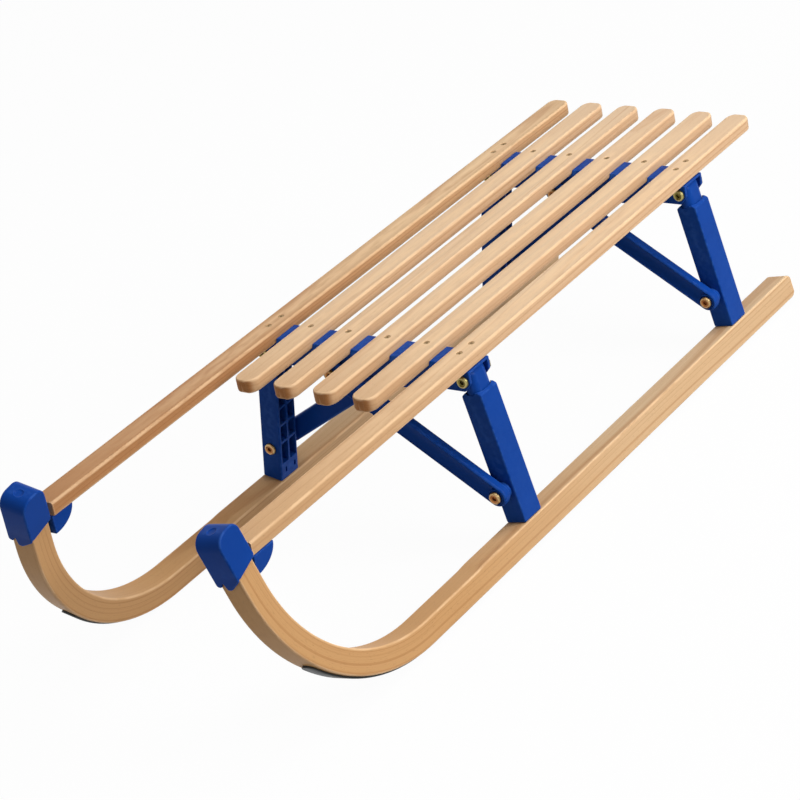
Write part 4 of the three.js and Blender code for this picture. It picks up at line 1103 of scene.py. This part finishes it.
# %% Two beams
for end in ENDS:
    x = LEG_X[end]
    top = plate(f"beam_{end}_moulded", rectangle(x - BEAM_HALF, x + BEAM_HALF, -BEAM_END, BEAM_END, 1.4),
                BEAM_PLATE, 0.4, at(0, 0, CEILING), 4, 2)
    walls = [beam_wall(x - BEAM_HALF), beam_wall(x + BEAM_HALF - BEAM_WALL)]
    piece = joined(top, *walls, *spacers(x), *beam_ribs(x), *screw_bosses(end))
    slots = [beam_slot(x - BEAM_HALF, -1), beam_slot(x + BEAM_HALF - BEAM_WALL, 1)]
    bores = [bore(x - BEAM_BORE_REACH, 2 * BEAM_BORE_REACH, sign * HINGE.y, HINGE.z) for _, sign in SIDES]
    spots = [middle(name) for name in nodes_named(f"slat_screw_{end}", f"rail_screw_{end}")]
    screw_holes = [turned("hole", [(2.1, 0), (2.1, 40)], at(spot.x, spot.y, SLAT_UNDERSIDE - 30), 16)
                   for spot in spots]
    piece = cut(piece, *slots, *bores, *screw_holes)
    settle(piece, "seat", BLUE, f"{end}_beam")
print("beams:", len(ENDS), "with", len(board_places) - 1, "spacing blocks each")

# %% [markdown]
# ## Pivot blocks
# Under the front end of each rail sits a quarter-round block. It holds the pin that the
# horn turns on when the sledge is folded.

# %% Both blocks
BLOCK_LENGTH, BLOCK_DROP, BLOCK_HALF = 34, 23, 12.5
BLOCK_Y = middle("pivot_block_left").y
BLOCK_STEPS = 14
PIN_FROM, PIN_LENGTH = RAIL_FRONT - 19, 30
WELL_PROFILE = [(3.8, -20), (3.8, 0), (2.2, 2), (2.2, 30)]


def pivot_block(side, sign):
    corners = [[RAIL_FRONT, SLAT_UNDERSIDE, 0.6], [RAIL_FRONT - BLOCK_LENGTH, SLAT_UNDERSIDE, 0.6]]
    for k in range(1, BLOCK_STEPS):
        angle = math.pi / 2 * k / BLOCK_STEPS
        corners.append([RAIL_FRONT - BLOCK_LENGTH * math.cos(angle),
                        SLAT_UNDERSIDE - BLOCK_DROP * math.sin(angle), 3.0])
    corners.append([RAIL_FRONT, SLAT_UNDERSIDE - BLOCK_DROP, 0.9])
    lie = at(0, sign * BLOCK_Y, 0) @ across(BLOCK_HALF)
    body = plate(f"block_{side}", corners, 2 * BLOCK_HALF, 1.3, lie, 2, 4)
    screw = f"pivot_block_screw_{side}"
    well = turned("well", WELL_PROFILE, at(middle(screw).x, middle(screw).y, box(screw)[0].z), 32)
    return cut(body, bore(PIN_FROM, PIN_LENGTH, sign * HINGE.y, HINGE.z), well)


for side, sign in SIDES:
    settle(pivot_block(side, sign), "seat", BLUE, f"pivot_block_{side}")
print("blocks under the rails' front ends:", len(SIDES))

# %% [markdown]
# ## Bolts and screws
# The bolts have round heads, dished towards a hexagon socket. All but the struts' upper ones
# have a nut with a short threaded end behind. They are turned from a profile, then the
# socket is cut. Each screw is turned to a different angle, as they come when driven by hand.

# %% A bolt
HEAD_HEIGHT, SHANK = 4.0, 4.0
NUT_RADIUS, NUT_HEIGHT, BOLT_END = 7.6, 5.0, 1.5
HEAD_PROFILE = [(7.0, 0), (7.4, 0.3), (7.4, 1.3), (7.2, 2.3), (6.7, 3.2), (6.1, 3.75), (5.5, 4.0),
                (5.0, 3.9), (4.5, 3.5), (4.1, 3.05), (3.6, 2.9)]
SOCKET_RADIUS, SOCKET_DEPTH = 3.2, 3.0


def mark_radial(mesh, centre, axes, full):
    """Stores each point's distance from the axis as a share of the head's radius."""
    spots = [Vector([vert.co[axis] / MM for axis in axes]) for vert in mesh.vertices]
    shares = [(spot - Vector(centre)).length / full for spot in spots]
    mesh.attributes.new("radial", "FLOAT", "POINT").data.foreach_set("value", shares)


def hexagon(radius, corner):
    turns = [math.radians(60 * k) for k in range(6)]
    return [[radius * math.cos(turn), radius * math.sin(turn), corner] for turn in turns]


def bolt(name, x_front, y, z, x_rear, with_nut):
    """A bolt along x: its head's underside is HEAD_HEIGHT behind x_front."""
    seat_x = x_front - HEAD_HEIGHT
    length = seat_x - x_rear
    shank = [(SHANK - 0.8, -length), (SHANK, -length + 0.8)]
    if with_nut:
        for k in range(3):
            shank += [(SHANK - 0.35, -length + 1.0 + 0.5 * k), (SHANK, -length + 1.25 + 0.5 * k)]
    piece = turned(name, shank + [(SHANK, 0)] + HEAD_PROFILE, pointing_forward(seat_x, y, z), 48)
    if with_nut:
        nut = plate("nut", hexagon(NUT_RADIUS, 0.5), NUT_HEIGHT, 0.5,
                    pointing_forward(x_rear + BOLT_END, y, z), 3, 3)
        piece = joined(piece, nut)
    socket = plate("socket", hexagon(SOCKET_RADIUS, 0.15), SOCKET_DEPTH + 2, 0,
                   pointing_forward(x_front - SOCKET_DEPTH, y, z), 2)
    piece = cut(piece, socket)
    mark_radial(piece.data, (y, z), (1, 2), HEAD_RADIUS)
    return piece


# %% All bolts
bolts = [(f"hinge_bolt_{end}_{side}", "seat", True) for end in ENDS for side, _ in SIDES]
bolts += [(f"strut_bolt_lower_{end}_{side}", f"{side}_side", True) for end in ENDS for side, _ in SIDES]
for node, body, with_nut in bolts:
    (low, high), centre = box(node), middle(node)
    piece = bolt(f"{node}_turned", high.x, centre.y, centre.z, low.x, with_nut)
    settle(piece, body, OLIVE if node.startswith("hinge") else COPPER, node)
print("bolts with nuts:", len(bolts))

# %% Upper strut bolts
for side, _ in SIDES:
    for end in ENDS:
        node = f"strut_bolt_upper_{end}_{side}"
        (low, high), centre = box(node), middle(node)
        piece = bolt(f"{node}_turned", high.x - centre.x, 0, 0, low.x - centre.x, False)
        facing = Matrix.Rotation(0 if side == "left" else math.pi, 4, "Z")
        piece.data.transform(Matrix.Translation(centre * MM) @ facing)
        settle(piece, f"{end}_{side}_strut", COPPER, node)
print("upper strut bolts:", 2 * len(ENDS))

# %% Screws
CROSS_LONG, CROSS_SLIM, CROSS_DEEP = 4.4, 0.95, 1.5
SCREW_HEAD = [(2.0, -2.4), (3.45, -0.45), (SCREW_RADIUS, -0.25), (3.55, -0.08), (3.3, 0.0)]
chance = random.Random(7)


def screw(node, upside_down):
    """A countersunk screw with a cross recess, pointing down or, turned over, up."""
    (low, high), spot = box(node), middle(node)
    length = high.z - low.z
    place = at(spot.x, spot.y, low.z if upside_down else high.z)
    place = place @ Matrix.Rotation(math.pi if upside_down else 0, 4, "X")
    place = place @ Matrix.Rotation(chance.uniform(0, math.pi / 2), 4, "Z")
    point = [(0.5, -length), (1.6, -length + 3), (2.0, -length + 4)]
    piece = turned(f"{node}_turned", point + SCREW_HEAD, place, 32)
    shape = rectangle(-CROSS_LONG / 2, CROSS_LONG / 2, -CROSS_SLIM / 2, CROSS_SLIM / 2, 0.35)
    lies = [place @ Matrix.Rotation(angle, 4, "Z") @ at(0, 0, -CROSS_DEEP) for angle in (0, math.pi / 2)]
    piece = cut(piece, *[plate("bar", shape, CROSS_DEEP + 1, 0, lie, 3) for lie in lies])
    mark_radial(piece.data, (spot.x, spot.y), (0, 1), SCREW_RADIUS)
    settle(piece, "seat", BROWN, node)


screws = [(node, False) for node in nodes_named("slat_screw", "rail_screw")]
screws += [(f"pivot_block_screw_{side}", True) for side, _ in SIDES]
for node, upside_down in screws:
    screw(node, upside_down)
print("screws:", len(screws))

# %% [markdown]
# ## Nodes that stay
# The long screws inside the legs and the pins inside the horns hardly show. Their CAD
# meshes have the right shape, so they only get a better finish.

# %% Finishes on the CAD's own pieces
for name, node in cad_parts.items():
    if node.hide_render:
        continue
    node.data.materials.clear()
    node.data.materials.append(OLIVE if name.startswith("horn_pivot_pin") else BROWN)
    print("kept:", name)

# %% [markdown]
# ## Floor and light
# A white floor that still takes a shadow is a diffuse floor with a share of plain white
# mixed in for the rays that the camera, gloss and glass see. All other rays find it darker,
# so that it doesn't light the sledge from below. The key light is a large soft panel high on
# the sledge's left. The faces that look forward stay darker, as the fill is turned low.

# %% White surroundings
FLOOR_HALF = 9.0
FLOOR_WHITE = 0.965
FLOOR_SEEN, FLOOR_GLOW = (0.8, 0.8, 0.8, 1), (0.42, 0.42, 0.42, 1)


def seen_directly(f):
    """1 for the rays that show the surroundings: camera, gloss and glass."""
    kinds = [f.add("ShaderNodeLightPath", output=kind)
             for kind in ("Is Camera Ray", "Is Glossy Ray", "Is Transmission Ray")]
    return f.add("ShaderNodeMath", {"operation": "MINIMUM"}, {0: kinds[0] + kinds[1] + kinds[2], 1: 1.0})


f = new_finish("floor")
seen = seen_directly(f)
matt = f.add("ShaderNodeBsdfDiffuse", {}, {"Color": f.mixed(seen, FLOOR_GLOW, FLOOR_SEEN)})
white = f.add("ShaderNodeEmission", {}, {"Color": (1, 1, 1, 1), "Strength": 1.0})
FLOOR = f.ended_with(f.add("ShaderNodeMixShader", {}, {0: seen * FLOOR_WHITE, 1: matt, 2: white}))
floor = mesh_object("floor", [(-1, -1, 0), (1, -1, 0), (1, 1, 0), (-1, 1, 0)], [(0, 1, 2, 3)],
                    Matrix.Scale(FLOOR_HALF / MM, 4))
floor.data.materials.append(FLOOR)
print("floor is", 2 * FLOOR_HALF, "m wide")

# %% World
ROOM_LIGHT = 0.24
room = Finish(bpy.data.worlds.new("room"))
dim, bright = [room.add("ShaderNodeBackground", {}, {"Color": (1, 1, 1, 1), "Strength": strength})
               for strength in (ROOM_LIGHT, 1.0)]
both = room.add("ShaderNodeMixShader", {}, {0: seen_directly(room), 1: dim, 2: bright})
bpy.context.scene.world = room.ended_with(both, "ShaderNodeOutputWorld")
print("room light:", ROOM_LIGHT)

# %% Lamps
LAMP_AIM = Vector((0, 0, 0.1))
LAMPS = [
    ("key", (-0.7, 2.6, 1.7), 1.6, 68),
    ("top", (-0.4, 0.7, 3.5), 2.0, 47),
    ("fill", (3.6, 0.2, 1.6), 2.0, 6),
]
for name, place, size, power in LAMPS:
    lamp = bpy.data.objects.new(name, bpy.data.lights.new(name, "AREA"))
    lamp.data.shape, lamp.data.size, lamp.data.energy = "DISK", size, power
    lamp.location = place
    lamp.rotation_mode = "QUATERNION"
    lamp.rotation_quaternion = (LAMP_AIM - Vector(place)).to_track_quat("-Z", "Y")
    bpy.context.scene.collection.objects.link(lamp)
bpy.context.scene.view_settings.view_transform = "Standard"
print("lamps:", [name for name, *_ in LAMPS])

# %% [markdown]
# ## Last count
# The pieces made here and their faces are counted and printed.

# %% Count and the end
print("pieces:", len(made), "faces:", sum(len(piece.data.polygons) for piece in made))
